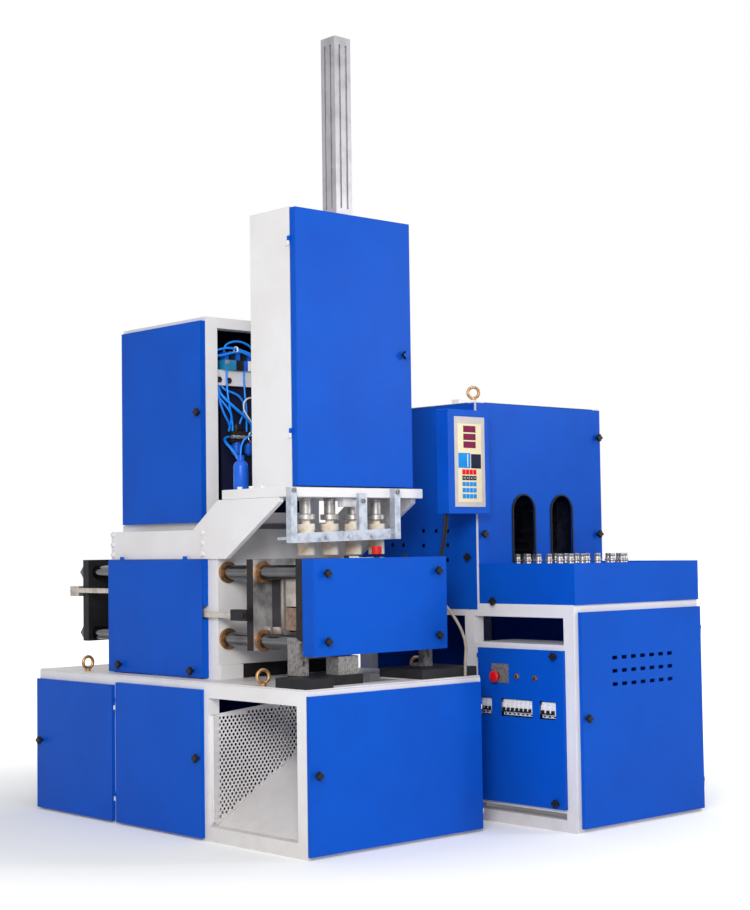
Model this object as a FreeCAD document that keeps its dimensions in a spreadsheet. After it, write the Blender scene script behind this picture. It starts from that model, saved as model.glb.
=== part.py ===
import FreeCAD, Part
import math
import os
import re
import Sketcher

# Two-unit blow moulding machine: a clamp and blow unit and, to its right, the preform heating oven.
# Frame: X right, Y back, Z up, in mm. X = 0 and Y = 0 are the middle of the clamp unit's base.
# Z = 0 is the floor.

os.makedirs("parts", exist_ok=True)
doc = FreeCAD.newDocument("blow_moulding_machine")

VALUES = {
    # base cabinet of the clamp unit
    "base_width": 750, "base_depth": 1530, "base_height": 510, "frame_tube": 45, "deck_thick": 6,
    "sheet_thick": 2, "door_depth": 14, "door_gap": 1, "hinge_radius": 4.5,
    "hinge_length": 30, "opening_post": -269,
    "middle_post": 235, "screen_top": 404, "screen_end": 20, "screen_pitch": 24, "screen_hole": 6,
    "slab_height": 30, "drop_half": 225, "left_slab_end": -265, "slab_edge": -90, "right_slab_start": 125,
    # clamp
    "plate_half": 287.5, "bar_x": 247.5, "bar_high": 862, "bar_low": 642, "bar_radius": 24,
    "bush_radius": 30, "flange_radius": 35, "flange_thick": 10, "fit_gap": 0.05,
    "front_plate_y": -647, "front_plate_thick": 32, "front_plate_low": 643, "plate_top": 905,
    "moving_y": -399, "moving_thick": 34, "moving_low": 610,
    "front_support_y": -209, "rear_support_y": 315, "support_thick": 90, "support_low": 557,
    "rear_plate_y": 573, "rear_plate_thick": 36, "rear_plate_low": 613,
    "front_cover_y": -703, "front_cover_low": 602, "mould_thick": 62, "mould_half": 210,
    "mould_low": 650, "mould_high": 880, "cavity_pitch": 102, "nozzle_y": -507,
    # synchronising rack and pinion
    "pinion_y": 115, "pinion_z": 760, "gear_module": 3, "rack_thick": 20, "rack_back": -288,
    "side_cover_x": -313, "side_cover_y": -157,
    # gussets and nozzle plate
    "gusset_x": 298, "gusset_thick": 20, "beam_low": 907, "beam_high": 1005, "blow_plate_low": 1101,
    "blow_plate_thick": 32, "blow_plate_front": -585, "blow_plate_back": -250,
    # tall cabinet and stretch cylinder
    "tall_half": 250, "tall_front": -557, "tall_back": -353, "tall_top": 2035, "tall_door": 27,
    "column_side": 70, "column_front": -542, "column_top": 2637, "stem_radius": 14, "rod_radius": 5,
    "nozzle_radius": 18.5, "nozzle_flange": 31, "head_radius": 27,
    # valve cabinet
    "valve_half": 248, "valve_front": -100, "valve_back": 395, "valve_low": 1028, "valve_top": 1730,
    "valve_post": 50, "valve_door_depth": 20,
    # oven
    "oven_left": 535, "oven_width": 655, "oven_front": -1040, "oven_back": 10, "oven_waist": 740,
    "oven_top": 1440, "hood_front": -610, "tray_top": 877, "panel_thick": 2,
    "box_low": 61, "box_high": 608, "box_back": -585, "box_depth": 200,
    "arch_half": 55.5, "arch_spring": 1061, "loop_radius": 100.5, "loop_front": -855,
    "run_length": 700, "track_top": 861, "chain_thick": 12, "chuck_radius": 11.5, "chuck_reach": 46,
    "console_left": 340, "console_width": 198, "console_front": -667, "console_low": 1048,
    "console_high": 1402,
    # fasteners
    "knob_core": 9, "knob_lobe": 5, "knob_radius": 13.5, "knob_length": 20, "bolt_radius": 9,
    "bolt_head": 8, "eye_radius": 20.5, "eye_wire": 5.5, "eye_collar": 7,
}

sheet = doc.addObject("Spreadsheet::Sheet", "Sizes")
for row, (alias, value) in enumerate(VALUES.items(), start=1):
    sheet.set(f"A{row}", alias)
    sheet.set(f"B{row}", str(value))
    sheet.setAlias(f"B{row}", alias)
doc.recompute()


def formula(text):
    """Turn a formula in plain size names into one that reads the sheet."""
    return re.sub(r"[a-z]+(?:_[a-z]+)+", lambda word: "Sizes." + word.group(0)
                  if word.group(0) in VALUES else word.group(0), str(text))


def bind(thing, **formulas):
    for name, text in formulas.items():
        thing.setExpression(name.replace("__", "."), formula(text))


def place(thing, x, y, z, rotation=None):
    if rotation:
        thing.Placement = FreeCAD.Placement(FreeCAD.Vector(), rotation)
    bind(thing, Placement__Base__x=x, Placement__Base__y=y, Placement__Base__z=z)
    return thing


TURNS = {
    "X": FreeCAD.Rotation(FreeCAD.Vector(0, 1, 0), 90),
    "Y": FreeCAD.Rotation(FreeCAD.Vector(1, 0, 0), -90),
    "Z": FreeCAD.Rotation(),
}


def box(x, y, z, dx, dy, dz):
    """A block from its low corner and its three lengths."""
    block = doc.addObject("Part::Box", "block")
    bind(block, Length=dx, Width=dy, Height=dz)
    return place(block, x, y, z)


def span(x0, x1, y0, y1, z0, z1):
    """A block from its low and high corners."""
    return box(x0, y0, z0, f"({x1})-({x0})", f"({y1})-({y0})", f"({z1})-({z0})")


def round_bar(x, y, z, radius, length, axis="Z"):
    """A round bar that starts at a point and runs along an axis."""
    bar = doc.addObject("Part::Cylinder", "bar")
    bind(bar, Radius=radius, Height=length)
    return place(bar, x, y, z, TURNS[axis])


def prism(x, y, z, radius, length, axis="Z", sides=6):
    """A bar of regular section, such as a bolt head or a moulded knob."""
    bar = doc.addObject("Part::Prism", "prism")
    bar.Polygon = sides
    bind(bar, Circumradius=radius, Height=length)
    return place(bar, x, y, z, TURNS[axis])


def fuse(pieces):
    if len(pieces) == 1:
        return pieces[0]
    joined = doc.addObject("Part::MultiFuse", "joined")
    joined.Shapes = pieces
    joined.Refine = True
    return joined


def cut(base, tools):
    result = doc.addObject("Part::Cut", "pierced")
    result.Base = base
    result.Tool = fuse(tools)
    result.Refine = True
    return result


def group(pieces):
    """Separate solids that share one node."""
    together = doc.addObject("Part::Compound", "together")
    together.Links = pieces
    return together


NODES = {}


def node(name, result):
    result.Label = name
    NODES[name] = result
    return result


def tray(x0, x1, y0, y1, z0, z1, open_side, wall="sheet_thick"):
    """A folded sheet pan: five walls, open at one side."""
    low = {"x": x0, "y": y0, "z": z0}
    high = {"x": x1, "y": y1, "z": z1}
    inside = {}
    for axis in "xyz":
        past = f"-({wall})" if open_side == "-" + axis else f"({wall})"
        inside[axis + "0"] = f"({low[axis]})+({past})"
        past = f"-({wall})" if open_side == "+" + axis else f"({wall})"
        inside[axis + "1"] = f"({high[axis]})-({past})"
    hollow = span(inside["x0"], inside["x1"], inside["y0"], inside["y1"], inside["z0"], inside["z1"])
    return cut(span(x0, x1, y0, y1, z0, z1), [hollow])


def sketch_on(body, plane, points):
    """A closed outline of straight edges on one of the body's own planes; each corner follows formulas."""
    outline = body.newObject("Sketcher::SketchObject", "outline")
    origin_plane = [face for face in body.Origin.OriginFeatures if face.Role == plane][0]
    outline.AttachmentSupport = [(origin_plane, "")]
    outline.MapMode = "FlatFace"
    count = len(points)
    spread = [math.tau * i / count for i in range(count)]
    rough = [FreeCAD.Vector(100 * math.cos(turn), 100 * math.sin(turn), 0) for turn in spread]
    for start, end in zip(rough, rough[1:] + rough[:1]):
        outline.addGeometry(Part.LineSegment(start, end))
    for i in range(count):
        outline.addConstraint(Sketcher.Constraint("Coincident", i, 2, (i + 1) % count, 1))
    for i, corner in enumerate(points):
        for kind, text, guess in zip(("DistanceX", "DistanceY"), corner, rough[i]):
            index = outline.addConstraint(Sketcher.Constraint(kind, -1, 1, i, 1, guess))
            outline.setExpression(f"Constraints[{index}]", formula(text))
    return outline


def new_body():
    return doc.addObject("PartDesign::Body", "shaped")


def pad(body, outline, length):
    """Thicken an outline along its plane's own normal: +X on YZ, -Y on XZ, +Z on XY."""
    thick = body.newObject("PartDesign::Pad", "thick")
    thick.Profile = outline
    bind(thick, Length=length)
    return thick


def profile(plane, points, length, x=0, y=0, z=0):
    """A plate of any outline, thickened along the normal of its plane."""
    body = new_body()
    pad(body, sketch_on(body, plane, points), length)
    return place(body, x, y, z)


def knob(x, y, z, axis="Y"):
    """A thumb knob with four lobes on a short neck, standing out of a cover to the front or the left."""
    neck, head, lobe_at = "knob_length*0.4", "knob_length*0.6", "knob_radius-knob_lobe"
    sides = ((1, 0), (0, 1), (-1, 0), (0, -1))
    lobes = [(f"({lobe_at})*({across})", f"({lobe_at})*({up})") for across, up in sides]
    if axis == "Y":
        return fuse([round_bar(x, f"({y})-{neck}", z, 6, neck, "Y"),
                     prism(x, f"({y})-knob_length", z, "knob_core", head, "Y", 8)] +
                    [prism(f"{x}+{across}", f"({y})-knob_length", f"{z}+{up}", "knob_lobe", head, "Y", 8)
                     for across, up in lobes])
    return fuse([round_bar(f"({x})-{neck}", y, z, 6, neck, "X"),
                 prism(f"({x})-knob_length", y, z, "knob_core", head, "X", 8)] +
                [prism(f"({x})-knob_length", f"{y}+{across}", f"{z}+{up}", "knob_lobe", head, "X", 8)
                 for across, up in lobes])


def eye_bolt(x, y, z, turn):
    """A lifting eye: collar and upright ring, left at the turn where its thread came tight."""
    ring = doc.addObject("Part::Torus", "ring")
    bind(ring, Radius1="eye_radius", Radius2="eye_wire")
    upright = FreeCAD.Rotation(FreeCAD.Vector(1, 0, 0), 90)
    ring.Placement = FreeCAD.Placement(
        FreeCAD.Vector(), FreeCAD.Rotation(FreeCAD.Vector(0, 0, 1), -turn).multiply(upright))
    place_keep(ring, x, y, f"({z})+eye_collar+eye_radius+eye_wire/2")
    return fuse([round_bar(x, y, z, "eye_radius/2", "eye_collar+2"), ring])


def place_keep(thing, x, y, z):
    """Move a thing that is already turned."""
    bind(thing, Placement__Base__x=x, Placement__Base__y=y, Placement__Base__z=z)
    return thing


# ---- doors and their hinges ----
LEFT, RIGHT = "-base_width/2", "base_width/2"
FRONT, BACK = "-base_depth/2", "base_depth/2"
RIM = "base_height-deck_thick"
T = "frame_tube"
SIDE_OUT = "-base_width/2-hinge_radius-door_gap*2"
OVEN_RIGHT = "oven_left+oven_width"
BOX_OUT = "oven_left-hinge_radius-door_gap/2"

# Each hinge line: where its pin stands, its heights, and the plan of its fixed and moving leaves.
HINGES = {
    "base_front_door": {
        "pin": ("base_width/2-5", "-base_depth/2-6.5"), "heights": ("frame_tube+15", "base_height-110"),
        "fixed": ("base_width/2-7", "base_width/2-3", "-base_depth/2-6.5", FRONT),
        "moving": ("base_width/2-12", "base_width/2-5", "-base_depth/2-8.5", "-base_depth/2-4.5")},
    "base_side_door_front": {
        "pin": (SIDE_OUT, "middle_post+17.5"), "heights": ("frame_tube+25", "base_height-110"),
        "fixed": (SIDE_OUT, LEFT, "middle_post+15.5", "middle_post+19.5"),
        "moving": (f"{SIDE_OUT}-2", f"{SIDE_OUT}+2", "middle_post+11", "middle_post+17.5")},
    "base_side_door_rear": {
        "pin": (SIDE_OUT, "middle_post+28.5"), "heights": ("frame_tube+33", "base_height-120"),
        "fixed": (SIDE_OUT, LEFT, "middle_post+26.5", "middle_post+30.5"),
        "moving": (f"{SIDE_OUT}-2", f"{SIDE_OUT}+2", "middle_post+28.5", "middle_post+35")},
    "tall_cabinet_door": {
        "pin": ("-tall_half-6", "tall_front-1.5"), "heights": ("blow_plate_low+189", "tall_top-127"),
        "fixed": ("-tall_half-8", "-tall_half", "tall_front-1.5", "tall_front+12"),
        "moving": ("-tall_half-8", "-tall_half", "tall_front-9", "tall_front-1.5")},
    "valve_cabinet_door": {
        "pin": ("-valve_half-6.5", "valve_back-13"), "heights": ("valve_low+92", "valve_top-130"),
        "fixed": ("-valve_half-6.5", "-valve_half", "valve_back-15", "valve_back-11"),
        "moving": ("-valve_half-8.5", "-valve_half-4.5", "valve_back-20", "valve_back-13")},
    "oven_front_door": {
        "pin": (f"{OVEN_RIGHT}+5.5", "oven_front-6"), "heights": ("frame_tube+45", "oven_waist-120"),
        "fixed": (OVEN_RIGHT, f"{OVEN_RIGHT}+4", "oven_front-6", "oven_front+15"),
        "moving": (f"{OVEN_RIGHT}-2", f"{OVEN_RIGHT}+5.5", "oven_front-8", "oven_front-4")},
    "electrics_door": {
        "pin": (BOX_OUT, "box_back-20"), "heights": ("box_low+49", "box_high-68"),
        "fixed": (BOX_OUT, "oven_left", "box_back-22", "box_back-18"),
        "moving": (f"{BOX_OUT}-2", f"{BOX_OUT}+2", "box_back-27", "box_back-20")},
}


def hinge_halves(door, half):
    """The lower, fixed halves of a door's hinges, or the upper halves that swing with it."""
    facts = HINGES[door]
    halves = []
    for height in facts["heights"]:
        low = height if half == "fixed" else f"{height}+hinge_length/2+0.3"
        high = f"{low}+hinge_length/2-0.3"
        halves.append(round_bar(*facts["pin"], low, "hinge_radius", f"({high})-({low})"))
        halves.append(span(*facts[half], low, high))
    return halves


def front_door(name, x0, x1, z0, z1, face, depth, knobs):
    """A folded door that covers an opening of the front, with its knobs and hinge leaves."""
    skin = f"{face}-door_gap-{depth}"
    leaf = tray(x0, x1, skin, f"{face}-door_gap", z0, z1, "+y")
    return [leaf] + hinge_halves(name, "moving") + [knob(x, skin, z, "Y") for x, z in knobs]


def side_door(name, y0, y1, z0, z1, face, depth, knobs):
    """A folded door that covers an opening of the left side."""
    skin = f"{face}-door_gap-{depth}"
    leaf = tray(skin, f"{face}-door_gap", y0, y1, z0, z1, "+x")
    return [leaf] + hinge_halves(name, "moving") + [knob(skin, y, z, "X") for y, z in knobs]


# ---- base cabinet of the clamp unit ----
def base_frame():
    """Square tube frame with its fixed hinge leaves."""
    posts = [span(x0, x1, y0, y1, 0, RIM)
             for x0, x1 in ((LEFT, f"{LEFT}+{T}"), (f"{RIGHT}-{T}", RIGHT))
             for y0, y1 in ((FRONT, f"{FRONT}+{T}"), ("opening_post", f"opening_post+{T}"),
                            ("middle_post", f"middle_post+{T}"), (f"{BACK}-{T}", BACK))]
    rings = [cut(span(LEFT, RIGHT, FRONT, BACK, z0, z1),
                 [span(f"{LEFT}+{T}", f"{RIGHT}-{T}", f"{FRONT}+{T}", f"{BACK}-{T}", f"{z0}-1", f"{z1}+1")])
             for z0, z1 in (("0", T), (f"{RIM}-{T}", RIM))]
    cross = [span(LEFT, RIGHT, y, f"{y}+{T}", z, f"{z}+{T}")
             for y in ("opening_post", "middle_post") for z in ("0", f"{RIM}-{T}")]
    cross.append(span(LEFT, RIGHT, f"-{T}/2", f"{T}/2", 0, T))
    hinges = [half for door in ("base_front_door", "base_side_door_front", "base_side_door_rear")
              for half in hinge_halves(door, "fixed")]
    return fuse(posts + rings + cross + hinges)


def base_deck():
    """Deck sheet with the opening that finished bottles drop through."""
    below, above = f"{RIM}-1", "base_height+1"
    return cut(span(LEFT, RIGHT, FRONT, BACK, RIM, "base_height"), [
        span("-drop_half", "drop_half", "nozzle_y-38", "nozzle_y+107", below, above),
        span("slab_edge", "right_slab_start", f"{FRONT}+75", "nozzle_y-37", below, above)])


def base_panels():
    """Plain closing sheets of the right side and the back."""
    right = tray(RIGHT, f"{RIGHT}+door_depth", f"{FRONT}+10", f"{BACK}-10", 10, f"{RIM}-10", "-x")
    back = tray(f"{LEFT}+10", f"{RIGHT}-10", BACK, f"{BACK}+door_depth", 10, f"{RIM}-10", "-y")
    return group([right, back])


CHUTE_FOOT = "frame_tube"
CHUTE_HEAD = f"{RIM}-frame_tube-sheet_thick"
CHUTE_START, CHUTE_END = "-base_width/2+35", "base_width/2-frame_tube"
CHUTE_SLOPE = f"(({CHUTE_HEAD}-{CHUTE_FOOT})/({CHUTE_END}-({CHUTE_START})))"


def bottle_chute():
    """Sloping sheet that leads bottles out at the left and hooks under the right rail."""
    return profile("XZ_Plane", [
        (LEFT, CHUTE_FOOT), (CHUTE_START, CHUTE_FOOT), (CHUTE_END, CHUTE_HEAD),
        (f"{CHUTE_END}+15", CHUTE_HEAD), (f"{CHUTE_END}+15", f"{CHUTE_HEAD}+sheet_thick"),
        (CHUTE_END, f"{CHUTE_HEAD}+sheet_thick"),
        (CHUTE_START, f"{CHUTE_FOOT}+sheet_thick"), (LEFT, f"{CHUTE_FOOT}+sheet_thick")],
        "opening_post-sheet_thick+base_depth/2-frame_tube", 0, "opening_post-sheet_thick", 0)


def chute_screen():
    """Perforated wall behind the chute: staggered holes in rows that follow its sloping top edge."""
    start, end = "-base_width/2+10", "screen_end"
    top_slope = 0.085
    wall = profile("XZ_Plane", [
        (start, CHUTE_FOOT), (CHUTE_START, CHUTE_FOOT),
        (end, f"{CHUTE_FOOT}+{CHUTE_SLOPE}*({end}-({CHUTE_START}))"),
        (end, f"screen_top+{top_slope}*({end}-({start}))"), (start, "screen_top")],
        "sheet_thick", 0, "opening_post", 0)
    pitch, margin = VALUES["screen_pitch"], 18
    left = -VALUES["base_width"] / 2 + 10
    rise = (VALUES["base_height"] - 98) / (VALUES["base_width"] - 80)
    holes = []
    for row in range(20):
        for column in range(18):
            along = column + (row % 2) / 2
            x = left + margin + along * pitch
            z = VALUES["screen_top"] - margin + top_slope * (x - left) - row * pitch * 0.866
            floor = VALUES["frame_tube"] + rise * (x - left - 25)
            if x < VALUES["screen_end"] - margin and z > floor + margin + 4:
                across = f"{margin}+{along}*screen_pitch"
                height = f"screen_top-{margin}+{top_slope}*({across})-{row}*screen_pitch*0.866"
                holes.append(prism(f"{start}+{across}", "opening_post-sheet_thick-1", height,
                                   "screen_hole", "sheet_thick+2", "Y"))
    print("screen holes", len(holes))
    return cut(wall, holes)


def slide_pads():
    """Black slabs that the front platen's feet slide on, with the stop block between them."""
    deck, face = "base_height", "base_height+slab_height"
    return group([
        span(LEFT, "left_slab_end", FRONT, f"{FRONT}+148", deck, face),
        fuse([span("left_slab_end", "slab_edge", f"{FRONT}+60", "nozzle_y-38", deck, face),
              span("slab_edge-90", "slab_edge-5", f"{FRONT}+75", f"{FRONT}+135", face, f"{face}+58")]),
        span("right_slab_start", RIGHT, f"{FRONT}+15", "nozzle_y-38", deck, face)])


def lifting_eyes():
    """Lifting eyes: four on the base deck and one on the oven's roof bar."""
    spots = [(f"{LEFT}+13", "nozzle_y-34"), (f"{RIGHT}-19", "nozzle_y+26"),
             (f"{LEFT}+45", "rear_support_y+197"), (f"{RIGHT}-45", "rear_support_y+197")]
    eyes = [eye_bolt(x, y, "base_height", turn) for (x, y), turn in zip(spots, (12, 16, 0, 0))]
    return group(eyes + [eye_bolt("oven_left+oven_width/2", "hood_front+333", "oven_top+42", 42)])


# ---- clamp: fixed supports ----
BARS = [(f"{side}*bar_x", height) for side in (-1, 1) for height in ("bar_low", "bar_high")]
BAR_MIDDLE = "(bar_low+bar_high)/2"


def support(front, opening):
    """A fixed cross plate on two feet, bored for the guide bushes and the clamp drive."""
    plate = profile("XZ_Plane", [
        ("-plate_half", "support_low"), ("plate_half", "support_low"), ("plate_half", "beam_low"),
        ("gusset_x-gusset_thick", "beam_low"), ("gusset_x-gusset_thick", "beam_high"),
        ("gusset_thick-gusset_x", "beam_high"), ("gusset_thick-gusset_x", "beam_low"),
        ("-plate_half", "beam_low")], "support_thick", 0, f"{front}+support_thick", 0)
    feet = [span(x0, x1, f"{front}-16", f"{front}+support_thick", "base_height", "support_low")
            for x0, x1 in (("-plate_half", "-plate_half+92"), ("plate_half-92", "plate_half"))]
    bores = [round_bar(x, f"{front}-1", z, "bush_radius", "support_thick+2", "Y") for x, z in BARS]
    return cut(fuse([plate] + feet), bores + [opening])


def support_plates():
    """Front and rear fixed supports, tied by the cabinet's two rails."""
    rod_way = round_bar(0, "front_support_y-1", BAR_MIDDLE, 60, "support_thick+2", "Y")
    cylinder_way = span(-82, 82, "rear_support_y-1", "rear_support_y+support_thick+1",
                        f"{BAR_MIDDLE}-82", f"{BAR_MIDDLE}+82")
    return group([support("front_support_y", rod_way), support("rear_support_y", cylinder_way)])


def bush(x, y, z, length, flanges):
    """A flanged bronze bush round a tie bar; flanges names its flanged ends."""
    pieces = [round_bar(x, y, z, "bush_radius", length, "Y")]
    if "front" in flanges:
        pieces.append(round_bar(x, f"{y}-flange_thick", z, "flange_radius", "flange_thick", "Y"))
    if "back" in flanges:
        pieces.append(round_bar(x, f"{y}+{length}", z, "flange_radius", "flange_thick", "Y"))
    bore = round_bar(x, f"{y}-20", z, "bar_radius+fit_gap", f"{length}+40", "Y")
    return cut(fuse(pieces), [bore])


def guide_bushes():
    front = [bush(x, "front_support_y", z, "support_thick", ("front",)) for x, z in BARS]
    rear = [bush(x, "rear_support_y", z, "support_thick", ("back",)) for x, z in BARS]
    return group(front + rear)


def gusset(outer):
    """A thick plate: long beam at the back, rising to a bracket that carries the nozzle plate in front."""
    return profile("YZ_Plane", [
        ("rear_support_y+support_thick", "beam_low"), ("rear_support_y+support_thick", "beam_high"),
        ("front_support_y+124", "beam_high"), ("front_support_y-16", "blow_plate_low"),
        ("blow_plate_front+36", "blow_plate_low"), ("blow_plate_front+36", "blow_plate_low-15"),
        ("front_support_y-58", "beam_low")], "gusset_thick", outer, 0, 0)


def gusset_arms():
    return group([gusset("-gusset_x"), gusset("gusset_x-gusset_thick")])


# ---- clamp: synchronising gear ----
TOOTH_PITCH = "gear_module*pi"
PINION_TEETH = 16
PITCH_RADIUS = f"gear_module*{PINION_TEETH}/2"
RACK_FACE = "rack_back-rack_thick"


def rack(low, high, start, end, toothed_side, first, count):
    """A rack bar whose trapezoid teeth point up (+1) or down (-1) at the pinion."""
    body = new_body()
    pad(body, sketch_on(body, "YZ_Plane", [(start, low), (end, low), (end, high), (start, high)]),
        "rack_thick")
    root = high if toothed_side > 0 else low
    tip = f"{root}+({toothed_side})*gear_module*2.2"
    middle = f"pinion_y+({first}+0.5)*{TOOTH_PITCH}"
    tooth = sketch_on(body, "YZ_Plane", [
        (f"{middle}-gear_module*1.1", root), (f"{middle}+gear_module*1.1", root),
        (f"{middle}+gear_module*0.32", tip), (f"{middle}-gear_module*0.32", tip)])
    raised = pad(body, tooth, "rack_thick")
    row = body.newObject("PartDesign::LinearPattern", "row")
    row.Originals = [raised]
    row.Direction = ([axis for axis in body.Origin.OriginFeatures if axis.Role == "Y_Axis"][0], [""])
    row.Occurrences = count
    bind(row, Length=f"{count - 1}*{TOOTH_PITCH}")
    body.Tip = row
    return place(body, RACK_FACE, 0, 0)


def sync_pinion():
    """Spur pinion that makes the two halves of the clamp travel by equal amounts."""
    body = new_body()
    outline = body.newObject("Sketcher::SketchObject", "outline")
    outline.AttachmentSupport = [([f for f in body.Origin.OriginFeatures if f.Role == "YZ_Plane"][0], "")]
    outline.MapMode = "FlatFace"
    outline.addGeometry(Part.Circle(FreeCAD.Vector(), FreeCAD.Vector(0, 0, 1), 20))
    outline.addConstraint(Sketcher.Constraint("Coincident", 0, 3, -1, 1))
    size = outline.addConstraint(Sketcher.Constraint("Radius", 0, 20))
    outline.setExpression(f"Constraints[{size}]", formula(f"{PITCH_RADIUS}-gear_module*1.25"))
    pad(body, outline, "rack_thick")
    low, high = f"{PITCH_RADIUS}-gear_module*1.4", f"{PITCH_RADIUS}+gear_module*0.9"
    tooth = sketch_on(body, "YZ_Plane", [
        ("-gear_module*0.95", low), ("gear_module*0.95", low),
        ("gear_module*0.3", high), ("-gear_module*0.3", high)])
    raised = pad(body, tooth, "rack_thick")
    ring = body.newObject("PartDesign::PolarPattern", "ring")
    ring.Originals = [raised]
    ring.Axis = ([axis for axis in body.Origin.OriginFeatures if axis.Role == "X_Axis"][0], [""])
    ring.Angle = 360
    ring.Occurrences = PINION_TEETH
    body.Tip = ring
    place(body, RACK_FACE, "pinion_y", "pinion_z")
    bore = round_bar(f"{RACK_FACE}-1", "pinion_y", "pinion_z", "8+fit_gap", "rack_thick+2", "X")
    return cut(body, [bore])


def rack_guide():
    """Plate between the supports with the pinion's pin and the ledges that keep the racks in mesh."""
    plate = span("-plate_half", "-plate_half+8", "front_support_y+support_thick", "rear_support_y",
                 "pinion_z-60", "pinion_z+60")
    pin = round_bar(f"{RACK_FACE}-1.5", "pinion_y", "pinion_z", 8,
                    "-plate_half-(rack_back-rack_thick)+2", "X")
    ledges = [span(RACK_FACE, "-plate_half", "pinion_y-50", "pinion_y+50", low, high)
              for low, high in (("pinion_z+45.3", "pinion_z+54"), ("pinion_z-54", "pinion_z-45.3"))]
    return fuse([plate, pin] + ledges)


def clamp_cover():
    """Folded cover of the synchronising gear, with slots where the racks run out of it."""
    cover = tray("side_cover_x", "-plate_half", "side_cover_y", "rear_support_y+support_thick",
                 "base_height+3", "plate_top", "+x")
    tabs = [span("side_cover_x", "side_cover_x+sheet_thick", y, f"{y}+24", "plate_top-5", "plate_top+12")
            for y in ("side_cover_y+85", "rear_support_y-10")]
    slots = [span("side_cover_x+sheet_thick", "-plate_half+1", "side_cover_y-1", "side_cover_y+3",
                  "pinion_z-51", "pinion_z-9"),
             span("side_cover_x+sheet_thick", "-plate_half+1", "rear_support_y+support_thick-3",
                  "rear_support_y+support_thick+1", "pinion_z+15", "pinion_z+51")]
    return cut(fuse([cover] + tabs), slots)


# ---- clamp: the frame that travels backwards, and the platen that travels forwards ----
def front_platen():
    """Front plate on two slotted feet, with a row of screws and a capped port on its top edge."""
    plate = span("-plate_half", "plate_half", "front_plate_y", "front_plate_y+front_plate_thick",
                 "front_plate_low", "plate_top")
    foot_low = "base_height+slab_height+0.3"
    feet = []
    for x0, x1, web, bolt in (("-plate_half", "-plate_half+37", "-plate_half", "-plate_half+18"),
                              ("plate_half-37", "plate_half", "plate_half-8", "plate_half-18")):
        upright = span(x0, x1, "front_plate_y+17", "front_plate_y+27", foot_low, "front_plate_low")
        sole = span(x0, x1, "front_plate_y+17", "front_plate_y+76", foot_low, f"{foot_low}+10")
        side = span(web, f"{web}+8", "front_plate_y+27", "front_plate_y+76", foot_low, "front_plate_low+14")
        slot = span(f"{bolt}-5", f"{bolt}+5", "front_plate_y+16", "front_plate_y+28",
                    f"{foot_low}+30", f"{foot_low}+75")
        screw = prism(bolt, "front_plate_y+9", f"{foot_low}+52", "bolt_radius", "bolt_head", "Y")
        feet += [cut(fuse([upright, sole, side]), [slot]), screw]
    screws = [prism(x, "front_plate_y+17", "plate_top", "bolt_radius", "bolt_head") for x in (-88, 169)]
    cap = [round_bar(43, "front_plate_y+17", "plate_top", 9, 12),
           prism(43, "front_plate_y+17", "plate_top+11", 17, 26, "Z", 12)]
    holes = [round_bar(x, "front_plate_y-1", z, "bar_radius+fit_gap", "front_plate_thick+2", "Y")
             for x, z in BARS]
    return cut(fuse([plate] + feet + screws + cap), holes)


BAR_FRONT, BAR_BACK = "front_plate_y-43", "rear_plate_y+rear_plate_thick+36"


def tie_bars():
    """Four chromed tie bars with a nut at each end."""
    return group([fuse([
        round_bar(x, BAR_FRONT, z, "bar_radius", f"({BAR_BACK})-({BAR_FRONT})", "Y"),
        prism(x, "front_plate_y-25", z, 36, 25, "Y"),
        prism(x, "rear_plate_y+rear_plate_thick", z, 36, 26, "Y")]) for x, z in BARS])


def rear_plate():
    plate = span("-plate_half", "plate_half", "rear_plate_y", "rear_plate_y+rear_plate_thick",
                 "rear_plate_low", "beam_low")
    holes = [round_bar(x, "rear_plate_y-1", z, "bar_radius+fit_gap", "rear_plate_thick+2", "Y")
             for x, z in BARS]
    return cut(plate, holes)


def front_cover():
    """Folded cover in front of the platen's nuts, with its four knobs."""
    cover = tray("-plate_half", "plate_half", "front_cover_y", "front_plate_y",
                 "front_cover_low", "plate_top", "+y")
    knobs = [knob(x, "front_cover_y", z, "Y")
             for x in ("-plate_half+47", "plate_half-47") for z in ("front_cover_low+45", "plate_top-46")]
    return fuse([cover] + knobs)


CAVITIES = [f"({i})*cavity_pitch" for i in (-1.5, -0.5, 0.5, 1.5)]


def mould_half(front, parting):
    """Half of a four-cavity bottle mould; the cavities' axes lie on its parting face."""
    block = span("-mould_half", "mould_half", front, f"{front}+mould_thick", "mould_low", "mould_high")
    hollows = []
    for x in CAVITIES:
        shoulder = doc.addObject("Part::Cone", "shoulder")
        bind(shoulder, Radius1="cavity_pitch*0.31", Radius2="14", Height="40")
        place(shoulder, x, parting, "mould_low+160")
        hollows.append(fuse([
            round_bar(x, parting, "mould_low+18", "cavity_pitch*0.31", "142"), shoulder,
            round_bar(x, parting, "mould_low+199", 14, "mould_high-mould_low-198")]))
    return cut(block, hollows)


def clamp_cylinder():
    """Double-acting cylinder on the rear plate."""
    front, back = "rear_plate_y-388", "rear_plate_y"
    body = fuse([round_bar(0, front, BAR_MIDDLE, 62.5, f"({back})-({front})", "Y"),
                 span(-70, 70, front, f"{front}+30", f"{BAR_MIDDLE}-70", f"{BAR_MIDDLE}+70"),
                 span(-70, 70, f"{back}-30", back, f"{BAR_MIDDLE}-70", f"{BAR_MIDDLE}+70")])
    return cut(body, [round_bar(0, f"{front}-1", BAR_MIDDLE, "25+fit_gap", 40, "Y"),
                      round_bar(0, f"{front}+30", BAR_MIDDLE, "55+fit_gap", "388-60", "Y")])


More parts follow.
